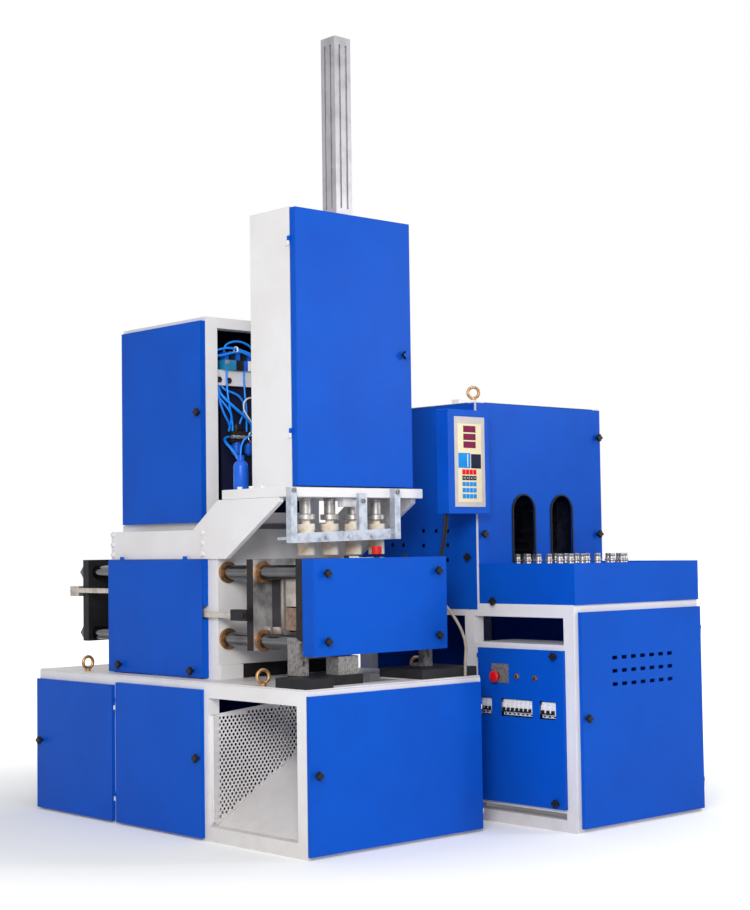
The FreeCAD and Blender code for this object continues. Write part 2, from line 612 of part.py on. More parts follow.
def clamp_rod():
    """Piston, rod and the flange that bolts to the moving platen."""
    start = "moving_y+moving_thick"
    return fuse([round_bar(0, start, BAR_MIDDLE, 25, f"rear_plate_y-188-({start})", "Y"),
                 round_bar(0, start, BAR_MIDDLE, 50, 20, "Y"),
                 round_bar(0, "rear_plate_y-188", BAR_MIDDLE, 55, 30, "Y")])


def rear_rack():
    """Upper rack, teeth down, carried by the block on the rear plate."""
    bar = rack("pinion_z+gear_module*9.25", "pinion_z+45", "pinion_y-70",
               "rear_plate_y+rear_plate_thick", -1, -5, 10)
    end = span(RACK_FACE, -240, "rear_plate_y+rear_plate_thick", "rear_plate_y+rear_plate_thick+56",
               "pinion_z+15", "pinion_z+51")
    return fuse([bar, end])


def front_rack():
    """Lower rack, teeth up, pinned in a clevis on the side of the moving platen."""
    bar = rack("pinion_z-45", "pinion_z-gear_module*9.25", "moving_y+59", "pinion_y+65", 1, -5, 10)
    clevis = span("rack_back-rack_thick-7", "-plate_half", "moving_y+1", "moving_y+86",
                  "pinion_z-53", "pinion_z-17")
    pin = round_bar("rack_back-rack_thick-15", "moving_y+19", "pinion_z-35", 9, 10, "X")
    return fuse([bar, clevis, pin])


def moving_platen():
    plate = span("-plate_half", "plate_half", "moving_y", "moving_y+moving_thick",
                 "moving_low", "plate_top")
    holes = [round_bar(x, "moving_y-1", z, "bush_radius", "moving_thick+2", "Y") for x, z in BARS]
    return cut(plate, holes)


def platen_bushes():
    return group([bush(x, "moving_y", z, "moving_thick", ("front", "back")) for x, z in BARS])


# ---- blow unit ----
STEM_TOP = "blow_plate_low+129"


def nozzle_plate():
    plate = span("-gusset_x", "gusset_x", "blow_plate_front", "blow_plate_back",
                 "blow_plate_low", "blow_plate_low+blow_plate_thick")
    holes = [round_bar(x, "nozzle_y", "blow_plate_low-1", "stem_radius+fit_gap", "blow_plate_thick+2")
             for x in CAVITIES]
    return cut(plate, holes)


def blow_nozzles():
    """Four guide bodies under the nozzle plate."""
    return group([cut(fuse([
        round_bar(x, "nozzle_y", "blow_plate_low-53", "nozzle_radius", 53),
        round_bar(x, "nozzle_y", "blow_plate_low-71", "nozzle_flange", 18)]),
        [round_bar(x, "nozzle_y", "blow_plate_low-72", "stem_radius+fit_gap", 73)]) for x in CAVITIES])


def seal_heads():
    """Four nylon seal heads on hollow stems, joined by a yoke inside the tall cabinet."""
    yoke = span("-cavity_pitch*1.5-37", "cavity_pitch*1.5+37", "nozzle_y-23", "nozzle_y+23",
                STEM_TOP, f"{STEM_TOP}+15")
    heads = []
    for x in CAVITIES:
        heads += [round_bar(x, "nozzle_y", "blow_plate_low-185", "head_radius", 81),
                  round_bar(x, "nozzle_y", "blow_plate_low-104", "head_radius+2.5", 20),
                  round_bar(x, "nozzle_y", "blow_plate_low-85", "stem_radius",
                            f"{STEM_TOP}-(blow_plate_low-85)+1")]
    bores = [round_bar(x, "nozzle_y", "blow_plate_low-186", "rod_radius+1", 335) for x in CAVITIES]
    return cut(fuse([yoke] + heads), bores)


def stretch_carriage():
    """Stretch rods on a cross plate, with the rod and piston of the stretch cylinder."""
    plate_low = "tall_top-155"
    rods = [round_bar(x, "nozzle_y", "blow_plate_low-166", "rod_radius",
                      f"{plate_low}+1-(blow_plate_low-166)") for x in CAVITIES]
    plate = span("-cavity_pitch*1.5-37", "cavity_pitch*1.5+37", "nozzle_y-33", "nozzle_y+33",
                 plate_low, f"{plate_low}+20")
    rod = round_bar(0, "nozzle_y", f"{plate_low}+19", 10, 382)
    piston = round_bar(0, "nozzle_y", f"{plate_low}+400", 20, 20)
    return fuse(rods + [plate, rod, piston])


def guide_bracket():
    """Aluminium hanger in front of the nozzle plate, with the plate that guides the seal heads."""
    front, back = "blow_plate_front-25", "blow_plate_front"
    legs = [span("-gusset_x", "-gusset_x+24", front, back, "blow_plate_low-146", "blow_plate_low+30"),
            span(145, 170, front, back, "blow_plate_low-136", "blow_plate_low+30"),
            span(-3, 32, f"{back}-14", back, "blow_plate_low-106", "blow_plate_low+14")]
    bar = profile("XZ_Plane", [
        ("-gusset_x+20", "blow_plate_low-146"), ("150", "blow_plate_low-136"),
        ("150", "blow_plate_low-101"), ("-gusset_x+20", "blow_plate_low-116")], 14, 0, back, 0)
    screws = [prism(x, f"{back}-20", f"blow_plate_low-{z}", "bolt_radius*0.8", 7, "Y")
              for x, z in ((-142, 129), (-46, 126), (52, 123), (149, 119))]
    plate = cut(span(-230, 190, f"{back}-1", "nozzle_y+52", "blow_plate_low-136", "blow_plate_low-126"),
                [round_bar(x, "nozzle_y", "blow_plate_low-137", "head_radius+0.5", 12) for x in CAVITIES])
    return fuse(legs + [bar, plate] + screws)


def tall_cabinet():
    """Sheet cabinet round the stretch rods: open in front behind its door, open below, bored on top."""
    shell = tray("-tall_half", "tall_half", "tall_front", "tall_back", "blow_plate_low+blow_plate_thick",
                 "tall_top", "-y")
    floor = span("-tall_half+20", "tall_half-20", "tall_front+20", "tall_back-20",
                 "blow_plate_low+blow_plate_thick-1", "blow_plate_low+blow_plate_thick+5")
    rod_hole = round_bar(0, "nozzle_y", "tall_top-5", 14, 10)
    return cut(fuse([shell] + hinge_halves("tall_cabinet_door", "fixed")), [floor, rod_hole])


def stretch_cylinder():
    """Square profile cylinder on the cabinet's roof, with two slots down each face."""
    middle = "column_front+column_side/2"
    column = span("-column_side/2", "column_side/2", "column_front", "column_front+column_side",
                  "tall_top", "column_top")
    slots = []
    for along in (-14, 14):
        for side in (-1, 1):
            edge = f"({side})*column_side/2"
            slots.append(span(f"{along}-4", f"{along}+4", f"{middle}+{edge}-6", f"{middle}+{edge}+6",
                              "tall_top+25", "column_top-27"))
            slots.append(span(f"{edge}-6", f"{edge}+6", f"{middle}+({along})-4", f"{middle}+({along})+4",
                              "tall_top+25", "column_top-27"))
    bores = [round_bar(0, middle, "tall_top-1", "10+fit_gap", 20),
             round_bar(0, middle, "tall_top+12", "20+fit_gap", "column_top-tall_top-27")]
    return cut(column, slots + bores)


# ---- valve cabinet ----
def valve_cabinet():
    """Cabinet on two rails across the supports: open door side, open front, a cross rail inside."""
    half, post = "valve_half", "valve_post"
    shell = tray(f"-{half}", half, "valve_front", "valve_back", "valve_low", "valve_top", "-y")
    door_way = span(f"-{half}-1", f"-{half}+5", f"valve_front+{post}", f"valve_back-{post}",
                    "valve_low+36", "valve_top-36")
    posts = [span(x0, x1, y0, y1, "valve_low", "valve_top")
             for x0, x1 in ((f"-{half}", f"-{half}+{post}"), (f"{half}-{post}", half))
             for y0, y1 in (("valve_front", f"valve_front+{post}"), (f"valve_back-{post}", "valve_back"))]
    rails = [span(f"-{half}", half, "valve_front", f"valve_front+{post}", z, f"{z}+36")
             for z in ("valve_low", "valve_top-36")]
    cross = span(f"-{half}+{post}", f"{half}-{post}", "valve_front+26", "valve_front+46", 1502, 1555)
    back_plate = span(-150, 0, "valve_front+46", "valve_front+52", "valve_low+36", 1555)
    feet = [span(x0, x1, "front_support_y", "rear_support_y+support_thick", "beam_high", "valve_low")
            for x0, x1 in ((f"-{half}", f"-{half}+40"), (f"{half}-40", half))]
    hinges = hinge_halves("valve_cabinet_door", "fixed")
    return fuse([cut(shell, [door_way])] + posts + rails + [cross, back_plate] + feet + hinges)


def valve_gear():
    """Valve manifold, pressure regulator with its gauge, and the air canister on the nozzle plate."""
    block = span(-160, -33, "valve_front+10", "valve_front+55", 1555, 1590)
    coils = [span(f"{x}-8", f"{x}+8", "valve_front+14", "valve_front+50", 1590, 1622)
             for x in (-146, -121, -96, -71, -46)]
    line = "valve_front+26"
    regulator = fuse([span(-129, -18, "valve_front+12", "valve_front+46", 1305, 1345),
                      round_bar(-100, line, 1345, 17, 26), round_bar(-100, line, 1258, 19, 48),
                      round_bar(-48, "valve_front", 1325, 20, 14, "Y"), round_bar(-48, line, 1262, 15, 44)])
    across, behind, foot = "-gusset_x+48", "blow_plate_back-42", "blow_plate_low+blow_plate_thick"
    canister = fuse([round_bar(across, behind, foot, 25, 96),
                     round_bar(across, behind, f"{foot}+95", 12, 19)])
    return group([fuse([block] + coils), regulator, canister])


def hose(points, radius):
    """A tube along straight runs joined by tangent arcs."""
    corners = [FreeCAD.Vector(*point) for point in points]
    edges = []
    start = corners[0]
    length = 0.0
    for before, corner, after in zip(corners, corners[1:], corners[2:]):
        back, ahead = before - corner, after - corner
        turn = math.pi - back.getAngle(ahead)
        reach = 0.45 * min(back.Length, ahead.Length)
        bend = reach / math.tan(turn / 2)
        back.normalize()
        ahead.normalize()
        first, last = corner + back * reach, corner + ahead * reach
        inward = back + ahead
        inward.normalize()
        middle = corner + inward * (bend / math.cos(turn / 2) - bend)
        edges += [Part.makeLine(start, first), Part.Arc(first, middle, last).toShape()]
        length += (first - start).Length + bend * turn
        start = last
        print("bend", round(bend, 1), "for radius", radius)
    edges.append(Part.makeLine(start, corners[-1]))
    length += (corners[-1] - start).Length
    path = Part.Wire(edges)
    ring = Part.Wire(Part.makeCircle(radius, corners[0], corners[1] - corners[0]))
    shape = path.makePipeShell([ring], True, True)
    print("hose volume", round(shape.Volume / (math.pi * radius ** 2 * length), 3))
    tube = doc.addObject("Part::Feature", "hose")
    tube.Shape = shape
    return tube


def air_hoses():
    """Air lines between the manifold, the regulator and the seal stems' feed."""
    y = VALUES["valve_front"]
    top = VALUES["blow_plate_low"] + VALUES["blow_plate_thick"] + 114
    back = VALUES["tall_back"]
    return group([
        hose([(-146, y + 18, 1555), (-146, y + 18, 1495), (-138, y + 12, 1420), (-122, y + 18, 1384),
              (-122, y + 18, 1345)], 3.5),
        hose([(-71, y + 18, 1555), (-71, y + 18, 1492), (-65, y + 12, 1424), (-60, y + 20, 1384),
              (-60, y + 20, 1345)], 3.5),
        hose([(-250, back + 61, top), (-250, back + 61, top + 39), (-232, back + 39, top + 67),
              (-232, back, top + 67)], 3)])


def structure_bolts():
    """Hexagon screws of the gussets and the nozzle plate."""
    heads = []
    for side in (-1, 1):
        face = "gusset_x" if side > 0 else "-gusset_x-bolt_head"
        for y in ("rear_support_y+76", "front_support_y+66"):
            for z in (17, 53, 89):
                heads.append(prism(face, y, f"beam_low+{z}", "bolt_radius", "bolt_head", "X"))
        for y in ("nozzle_y+52", "nozzle_y+112", "nozzle_y+172"):
            heads.append(prism(f"({side})*(gusset_x-10)", y, "blow_plate_low+blow_plate_thick",
                               "bolt_radius", "bolt_head"))
    return group(heads)


def cover_knobs():
    """Thumb knobs of the covers that stay shut in use."""
    spots = [("side_cover_x", "rear_support_y+12", "base_height+30", "X"),
             ("side_cover_x", "side_cover_y+55", "base_height+26", "X"),
             ("oven_left-panel_thick", "hood_front+40", 900, "X"),
             ("oven_left", "hood_front-76", "oven_waist+8", "X"),
             (555, "hood_front-panel_thick", 979, "Y"),
             (1170, "hood_front-panel_thick", 1333, "Y"),
             (1164, "hood_front-panel_thick", 976, "Y")]
    return group([knob(x, y, z, axis) for x, y, z, axis in spots])


# ---- oven ----
def oven_frame():
    """Square tube base, hood posts, roof and the bar that carries the lifting eye."""
    left, right = "oven_left", OVEN_RIGHT
    tube = "frame_tube"
    posts = [span(x0, x1, y0, y1, 0, "oven_waist")
             for x0, x1 in ((left, f"{left}+{tube}"), (f"{right}-{tube}", right))
             for y0, y1 in (("oven_front", f"oven_front+{tube}"), ("box_back", f"box_back+{tube}"),
                            (f"oven_back-{tube}", "oven_back"))]
    rings = [cut(span(left, right, "oven_front", "oven_back", z0, z1),
                 [span(f"{left}+{tube}", f"{right}-{tube}", f"oven_front+{tube}", f"oven_back-{tube}",
                       f"{z0}-1", f"{z1}+1")]) for z0, z1 in (("0", "40"), ("oven_waist-43", "oven_waist"))]
    floor = span(left, right, "hood_front", "oven_back", "oven_waist", "oven_waist+panel_thick")
    hood_posts = [span(x0, x1, y0, y1, "oven_waist", "oven_top")
                  for x0, x1 in ((left, f"{left}+40"), (f"{right}-40", right))
                  for y0, y1 in (("hood_front", "hood_front+40"), ("oven_back-40", "oven_back"))]
    roof = span(left, right, "hood_front", "oven_back", "oven_top-panel_thick", "oven_top")
    roof_bar = span("oven_left+oven_width/2-97", "oven_left+oven_width/2+96", "hood_front+315",
                    "hood_front+351", "oven_top", "oven_top+42")
    hinges = hinge_halves("oven_front_door", "fixed")
    return fuse(posts + rings + [floor, roof, roof_bar] + hood_posts + hinges)


def oven_panels():
    """Closing sheets of the right side and the back, below and above the waist."""
    right = OVEN_RIGHT
    return group([
        tray(right, f"{right}+door_depth", "oven_front+30", "oven_back-10", 10, "oven_waist-10", "-x"),
        tray("oven_left+10", f"{right}-10", "oven_back", "oven_back+door_depth", 10, "oven_waist-10", "-y"),
        span(right, f"{right}+panel_thick", "hood_front", "oven_back", "oven_waist-10", "oven_top-4"),
        span("oven_left", right, "oven_back", "oven_back+panel_thick", "oven_waist-9", "oven_top-4")])


BOX_FRONT = "oven_front+frame_tube"
LOOP_X = "(oven_left+oven_width/2+3)"


def electrics_box():
    """Switch box set in the oven's left side, with the rail that carries the breakers."""
    low, high, back = "box_low", "box_high", "box_back"
    shell = tray("oven_left", "oven_left+box_depth", BOX_FRONT, back, low, high, "-x")
    way = span("oven_left-1", "oven_left+6", f"{BOX_FRONT}+20", f"{back}-28", f"{low}+24", f"{high}-24")
    rim = cut(span("oven_left", "oven_left+5", BOX_FRONT, back, low, high), [way])
    rail = span("oven_left+25", "oven_left+32", f"{BOX_FRONT}+1", f"{back}-1", 375, 410)
    return fuse([shell, rim, rail])


BREAKERS = [("oven_front+76", 3, 22.7), ("oven_front+181", 7, 19.8), ("oven_front+367", 3, 18)]


def breakers():
    """Three rows of circuit breakers on the rail; the levers are part of their blocks."""
    blocks = []
    for start, poles, pitch in BREAKERS:
        block = span("oven_left-8", "oven_left+25", start, f"{start}+{poles}*{pitch}", 366, 419)
        levers = [span("oven_left-17", "oven_left-7", f"{start}+({i}+0.3)*{pitch}",
                       f"{start}+({i}+0.7)*{pitch}", 381, 392) for i in range(poles)]
        blocks.append(fuse([block] + levers))
    return group(blocks)


def loop_ring(outer, inner, low, high):
    """A flat ring with straight sides and round ends, on the path of the chuck chain."""
    solids = []
    for extra, z0, z1 in ((outer, low, high), (inner, f"{low}-1", f"{high}+1")):
        radius = f"loop_radius+({extra})"
        solids.append(fuse([
            span(f"{LOOP_X}-({radius})", f"{LOOP_X}+{radius}", "loop_front",
                 "loop_front+run_length", z0, z1),
            round_bar(LOOP_X, "loop_front", z0, radius, f"({z1})-({z0})"),
            round_bar(LOOP_X, "loop_front+run_length", z0, radius, f"({z1})-({z0})")]))
    return cut(solids[0], [solids[1]])


def preform_tray():
    """Deep open pan in front of the hood, and the raised oval track that leads into the hood."""
    back = "hood_front-panel_thick"
    pan = tray("oven_left", OVEN_RIGHT, "oven_front-7", back, "oven_waist", "tray_top", "+z")
    mouths = [span(f"{x}-40", f"{x}+40", f"{back}-3", f"{back}+1", "oven_waist+90", "tray_top+1")
              for x in (f"{LOOP_X}-loop_radius", f"{LOOP_X}+loop_radius")]
    track = loop_ring(20, -20, "track_top-6", "track_top")
    pillars = [round_bar(x, y, "oven_waist+sheet_thick", 12, "track_top-oven_waist-sheet_thick-3")
               for x in (f"{LOOP_X}-loop_radius", f"{LOOP_X}+loop_radius")
               for y in ("loop_front+30", "hood_front-60", "hood_front+60", "loop_front+run_length-30")]
    return fuse([cut(pan, mouths), track] + pillars)


def preform_chucks():
    """Chain band on the track with forty chucks that carry the preforms."""
    spots = []
    for i in range(14):
        along = f"loop_front+({i}+0.5)*run_length/14"
        spots += [(f"{LOOP_X}-loop_radius", along), (f"{LOOP_X}+loop_radius", along)]
    for i in range(6):
        turn = math.radians(15 + 30 * i)
        across, forward = round(math.cos(turn), 5), round(math.sin(turn), 5)
        spots += [(f"{LOOP_X}+({across})*loop_radius", f"loop_front-({forward})*loop_radius"),
                  (f"{LOOP_X}-({across})*loop_radius", f"loop_front+run_length+({forward})*loop_radius")]
    chucks = [prism(x, y, "track_top+chain_thick-1", "chuck_radius", "chuck_reach-chain_thick+1", "Z", 8)
              for x, y in spots]
    return fuse([loop_ring(9, -9, "track_top", "track_top+chain_thick")] + chucks)


def oven_housing():
    """Left wall of the hood with its small round openings."""
    wall = span("oven_left-panel_thick", "oven_left", "hood_front+8", "oven_back",
                "oven_waist-21", "oven_top-4")
    holes = [prism("oven_left-panel_thick-1", y, z, 8, "panel_thick+2", "X", 12)
             for y, z in ((-340, 994), (-404, 993), (-463, 992), (-339, 942), (-461, 943),
                          (-176, 946), (-234, 945), (-460, 890))]
    return cut(wall, holes)


def arch(centre, half, low, thick, y):
    """A round-headed opening that starts at the panel's lower edge."""
    return fuse([span(f"{centre}-({half})", f"{centre}+{half}", f"({y})-({thick})", y, low, "arch_spring"),
                 round_bar(centre, f"({y})-({thick})", "arch_spring", half, thick, "Y")])


ARCHES = [f"{LOOP_X}-loop_radius", f"{LOOP_X}+loop_radius"]


def oven_front_panel():
    """Front sheet of the hood with the two arches that the preforms pass through."""
    sheet_front = span("oven_left+2", f"{OVEN_RIGHT}-2", "hood_front-panel_thick", "hood_front",
                       "tray_top-14", "oven_top-4")
    return cut(sheet_front, [arch(x, "arch_half", "tray_top-15", "panel_thick+2", "hood_front+1")
                             for x in ARCHES])


def arch_trims():
    """Rubber edging round both arches."""
    face = "hood_front-panel_thick"
    return group([cut(arch(x, "arch_half+4", "tray_top+1", "5", face),
                      [arch(x, "arch_half-1", "tray_top", "7", f"{face}+1")]) for x in ARCHES])


def heating_lamps():
    """Two banks of quartz heating tubes, one outside each straight run of the chain."""
    banks = []
    for side in (-1, 1):
        middle = f"{LOOP_X}+({side})*(loop_radius+80)"
        plate = span(f"{middle}+({side})*30-3", f"{middle}+({side})*30+3", "hood_front+60", "oven_back-60",
                     "oven_waist+panel_thick", "arch_spring+70")
        ends = [span(f"{middle}-33", f"{middle}+33", y, f"{y}+6", "track_top+30", "arch_spring+70")
                for y in ("hood_front+60", "oven_back-66")]
        tubes = [prism(middle, "hood_front+62", f"track_top+60+{i}*36", 6,
                       "oven_back-hood_front-124", "Y", 8) for i in range(6)]
        banks.append(fuse([plate] + ends + tubes))
    return group(banks)


CONSOLE_RIGHT = "console_left+console_width"


def control_box():
    """Operator console on a plate that bolts to the hood's left wall."""
    back = "hood_front-panel_thick"
    case = cut(span("console_left", CONSOLE_RIGHT, "console_front", back, "console_low", "console_high"),
               [span("console_left+3", f"{CONSOLE_RIGHT}-3", "console_front+6", f"{back}-3",
                     "console_low+3", "console_high-3")])
    low, high = "console_low+60", "console_high-60"
    arm = [span(f"{CONSOLE_RIGHT}-60", "oven_left-panel_thick", back, f"{back}+5", low, high),
           span("oven_left-panel_thick-5", "oven_left-panel_thick", back, "hood_front+70", low, high)]
    return fuse([case] + arm)


def control_panel():
    """Membrane fascia: displays, indicator blocks and rows of raised keys."""
    face = "console_front-3"
    fascia = span("console_left+29", "console_left+174", face, "console_front",
                  "console_low+23", "console_high-24")
    raised = []
    for x0, x1, z0, z1 in ((74, 129, 283, 301), (74, 129, 256, 274), (74, 129, 228, 246),
                           (45, 102, 159, 208), (108, 155, 157, 207),
                           (61, 135, 136, 151), (61, 135, 116, 129)):
        raised.append(span(f"console_left+{x0}", f"console_left+{x1}", f"{face}-1.5", f"{face}+1",
                           f"console_low+{z0}", f"console_low+{z1}"))
    for row in range(3):
        for key in range(4):
            x, z = 48 + key * 27, 95 - row * 19
            raised.append(span(f"console_left+{x}", f"console_left+{x}+20", f"{face}-1.5", f"{face}+1",
                               f"console_low+{z}", f"console_low+{z}+13"))
    return fuse([fascia] + raised)


def control_cable():
    """Two console cables down to the deck, and the sensor cable that leaves the front platen."""
    under, deck = VALUES["console_low"], VALUES["base_height"]
    return group([
        hose([(346, -640, under), (343, -640, 988), (330, -632, 900), (322, -612, 805), (330, -585, 712),
              (334, -556, 625), (330, -535, 563), (330, -535, deck)], 4),
        hose([(360, -640, under), (354, -640, 992), (341, -628, 905), (333, -602, 812), (341, -572, 725),
              (347, -543, 640), (343, -520, 570), (343, -520, deck)], 4),
        cut(hose([(284, -690, 748), (330, -701, 702), (340, -740, 620), (312, -759, 556),
                  (312, -759, deck)], 5), [span("plate_half-20", "plate_half", -710, -670, 730, 770)])])


# ---- doors ----
def electrics_door():
    """Hinged door with windows for the breakers, the emergency stop plate and two toggle collars."""
    face, depth = "oven_left", "12"
    skin = f"{face}-door_gap-{depth}"
    front, back = "oven_front+40", "box_back-27"
    pieces = side_door("electrics_door", front, back, "box_low+12", "box_high-18", face, depth,
                       [("oven_front+72", 572), ("oven_front+73", 93)])
    pieces.append(span(f"{skin}-3", f"{skin}+1", "oven_front+284", "oven_front+362", 474, 538))
    for y, z in TOGGLES:
        pieces.append(round_bar(f"{skin}-4", y, z, 10, 5, "X"))
    ways = [span(f"{skin}-1", f"{skin}+3", f"{start}-2", f"{start}+{poles}*{pitch}+2", 363, 422)
            for start, poles, pitch in BREAKERS]
    ways.append(round_bar(f"{skin}-5", *STOP, "8+fit_gap", 12, "X"))
    ways += [round_bar(f"{skin}-5", y, z, 5.3, 12, "X") for y, z in TOGGLES]
    return cut(fuse(pieces), ways)


TOGGLES = [("oven_front+244", 499), ("oven_front+162", 496)]
STOP = ("oven_front+337", 495)
SKIN = "oven_left-door_gap-12"


def estop_button():
    """Mushroom head on its stem."""
    return fuse([round_bar(f"{SKIN}-24", *STOP, 20, 10, "X"),
                 round_bar(f"{SKIN}-15", *STOP, 8, 26, "X")])


def toggle(y, z):
    """Toggle lever on its ball and pivot pin."""
    ball = doc.addObject("Part::Sphere", "ball")
    ball.Radius = 5
    place(ball, SKIN, y, z)
    pin = round_bar(SKIN, f"{y}-5.2", z, 1.2, 10.4, "Y")
    return fuse([ball, pin, prism(f"{SKIN}-17", y, z, 2.6, 15, "X", 8)])


node("base_frame", base_frame())
node("base_deck", base_deck())
node("base_panels", base_panels())
node("bottle_chute", bottle_chute())
node("chute_screen", chute_screen())
node("slide_pads", slide_pads())
node("lifting_eyes", lifting_eyes())
node("support_plates", support_plates())
node("guide_bushes", guide_bushes())
node("gusset_arms", gusset_arms())
node("rack_guide", rack_guide())
node("clamp_cover", clamp_cover())
node("nozzle_plate", nozzle_plate())
node("blow_nozzles", blow_nozzles())
node("guide_bracket", guide_bracket())
node("tall_cabinet", tall_cabinet())
node("stretch_cylinder", stretch_cylinder())
node("valve_cabinet", valve_cabinet())
node("valve_gear", valve_gear())
node("air_hoses", air_hoses())
node("structure_bolts", structure_bolts())
node("cover_knobs", cover_knobs())
node("oven_frame", oven_frame())
node("oven_panels", oven_panels())
node("electrics_box", electrics_box())
node("breakers", breakers())
node("preform_tray", preform_tray())
node("preform_chucks", preform_chucks())
node("oven_housing", oven_housing())
node("oven_front_panel", oven_front_panel())
node("arch_trims", arch_trims())
node("heating_lamps", heating_lamps())
node("control_box", control_box())
node("control_panel", control_panel())
node("control_cable", control_cable())
node("front_platen", front_platen())
node("tie_bars", tie_bars())
node("rear_plate", rear_plate())
node("front_cover", front_cover())
node("front_mould", mould_half("front_plate_y+front_plate_thick",
                               "front_plate_y+front_plate_thick+mould_thick"))
node("clamp_cylinder", clamp_cylinder())
node("rear_rack", rear_rack())
node("moving_platen", moving_platen())
node("platen_bushes", platen_bushes())
node("rear_mould", mould_half("moving_y-mould_thick", "moving_y-mould_thick"))
node("front_rack", front_rack())
node("clamp_rod", clamp_rod())
node("sync_pinion", sync_pinion())
node("seal_heads", seal_heads())
node("stretch_carriage", stretch_carriage())
node("base_front_door", fuse(front_door(
    "base_front_door", LEFT, "base_width/2-12", 10, "base_height-20", FRONT, "door_depth",
    [("-base_width/2+26", 252)])))
node("base_side_door_front", fuse(side_door(
    "base_side_door_front", "opening_post+21", "middle_post+11", 8, "base_height-25", LEFT, "door_depth",
    [("opening_post+35", 265)])))
node("base_side_door_rear", fuse(side_door(
    "base_side_door_rear", "middle_post+35", "base_depth/2-2", 8, "base_height-35", LEFT, "door_depth",
    [("base_depth/2-37", 253)])))
node("tall_cabinet_door", fuse(front_door(
    "tall_cabinet_door", "-tall_half", "tall_half", "blow_plate_low+36", "tall_top-5", "tall_front-2",
    "tall_door", [("tall_half-37", "(blow_plate_low+tall_top)/2+13")])))
node("valve_cabinet_door", fuse(side_door(
    "valve_cabinet_door", "valve_front", "valve_back-20", "valve_low+2", "valve_top-15", "-valve_half-1",
    "valve_door_depth", [("valve_front+8", 1403)])))
node("electrics_door", electrics_door())
node("estop_button", estop_button())
node("toggle_a", toggle(*TOGGLES[0]))
node("toggle_b", toggle(*TOGGLES[1]))

oven_door = fuse(front_door("oven_front_door", "oven_left+20", f"{OVEN_RIGHT}-2", 14, "oven_waist-24",
                            "oven_front", "door_depth", [("oven_left+16+20", 371)]))
vents = [span(f"oven_left+172+{column}*48.5", f"oven_left+198+{column}*48.5", "oven_front-20",
              "oven_front-10", f"467+{row}*44", f"479+{row}*44") for row in range(3) for column in range(7)]
node("oven_front_door", cut(oven_door, vents))

doc.recompute()
for thing in doc.Objects:
    for state in thing.State:
        if state in ("Invalid", "Error"):
            raise RuntimeError(f"{thing.Name} is {state}")
for name, result in NODES.items():
    shape = result.Shape
    if shape.isNull() or not shape.isValid() or shape.Volume <= 0:
        raise RuntimeError(f"{name} has no sound solid")
    shape.exportStep(f"parts/{name}.step")
    print(name, len(shape.Solids), round(shape.Volume / 1e6, 3))
print("nodes", len(NODES))
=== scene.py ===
import bpy
import bmesh
import math
from mathutils import Matrix, Vector


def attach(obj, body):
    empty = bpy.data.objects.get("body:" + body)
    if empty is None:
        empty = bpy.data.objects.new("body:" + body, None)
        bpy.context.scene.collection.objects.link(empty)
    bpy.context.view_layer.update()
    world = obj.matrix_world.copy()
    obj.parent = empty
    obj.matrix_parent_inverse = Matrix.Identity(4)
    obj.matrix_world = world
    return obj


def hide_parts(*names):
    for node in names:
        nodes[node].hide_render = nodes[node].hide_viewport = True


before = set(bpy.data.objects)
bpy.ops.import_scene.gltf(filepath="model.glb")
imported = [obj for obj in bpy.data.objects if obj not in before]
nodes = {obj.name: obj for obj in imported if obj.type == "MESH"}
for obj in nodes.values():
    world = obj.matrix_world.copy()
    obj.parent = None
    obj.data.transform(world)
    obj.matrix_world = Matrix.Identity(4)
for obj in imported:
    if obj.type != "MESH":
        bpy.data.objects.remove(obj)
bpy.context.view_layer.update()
print("frame loaded", len(nodes))

# Metres. +X runs from the clamp unit to the oven, +Y from front to back; Z = 0 is the floor.
mm = 0.001

# ---- camera ----
cameraPlace = {"x": -3.6782, "y": -4.7408, "z": 0.935, "yaw": 0.7355, "pitch": 0.0548, "roll": -0.014,
               "lens": 67.25, "sensor": 36}


def makeCamera():
    yaw, pitch, roll = cameraPlace["yaw"], cameraPlace["pitch"], cameraPlace["roll"]
    right = Vector((math.cos(yaw), -math.sin(yaw), 0))
    ahead = Vector((math.sin(yaw), math.cos(yaw), 0))
    forward = ahead * math.cos(pitch) + Vector((0, 0, math.sin(pitch)))
    above = Vector((0, 0, math.cos(pitch))) - ahead * math.sin(pitch)
    camX = right * math.cos(roll) + above * math.sin(roll)
    camY = above * math.cos(roll) - right * math.sin(roll)
    data = bpy.data.cameras.new("camera")
    data.lens = cameraPlace["lens"]
    data.sensor_fit = "AUTO"
    data.sensor_width = cameraPlace["sensor"]
    data.clip_start, data.clip_end = 0.1, 60
    camera = bpy.data.objects.new("camera", data)
    turn = Matrix((camX, camY, -forward)).transposed().to_4x4()
    place = Vector((cameraPlace["x"], cameraPlace["y"], cameraPlace["z"]))
    camera.matrix_world = Matrix.Translation(place) @ turn
    bpy.context.scene.collection.objects.link(camera)
    bpy.context.scene.camera = camera


makeCamera()

# ---- shader helpers ----
def addNode(tree, kind, inputs=None, **settings):
    node = tree.nodes.new(kind)
    for name, value in settings.items():
        setattr(node, name, value)
    for name, value in (inputs or {}).items():
        node.inputs[name].default_value = value
    return node


def join(tree, *links):  # each link names a node and its output, then a node and its input
    for start, output, end, socket in links:
        tree.links.new(start.outputs[output], end.inputs[socket])


def newMaterial(name, **plain):
    material = bpy.data.materials.new(name)
    material.use_nodes = True
    tree = material.node_tree
    base = tree.nodes["Principled BSDF"]
    for socket, value in plain.items():
        base.inputs[socket.replace("_", " ")].default_value = value
    return material, tree, base


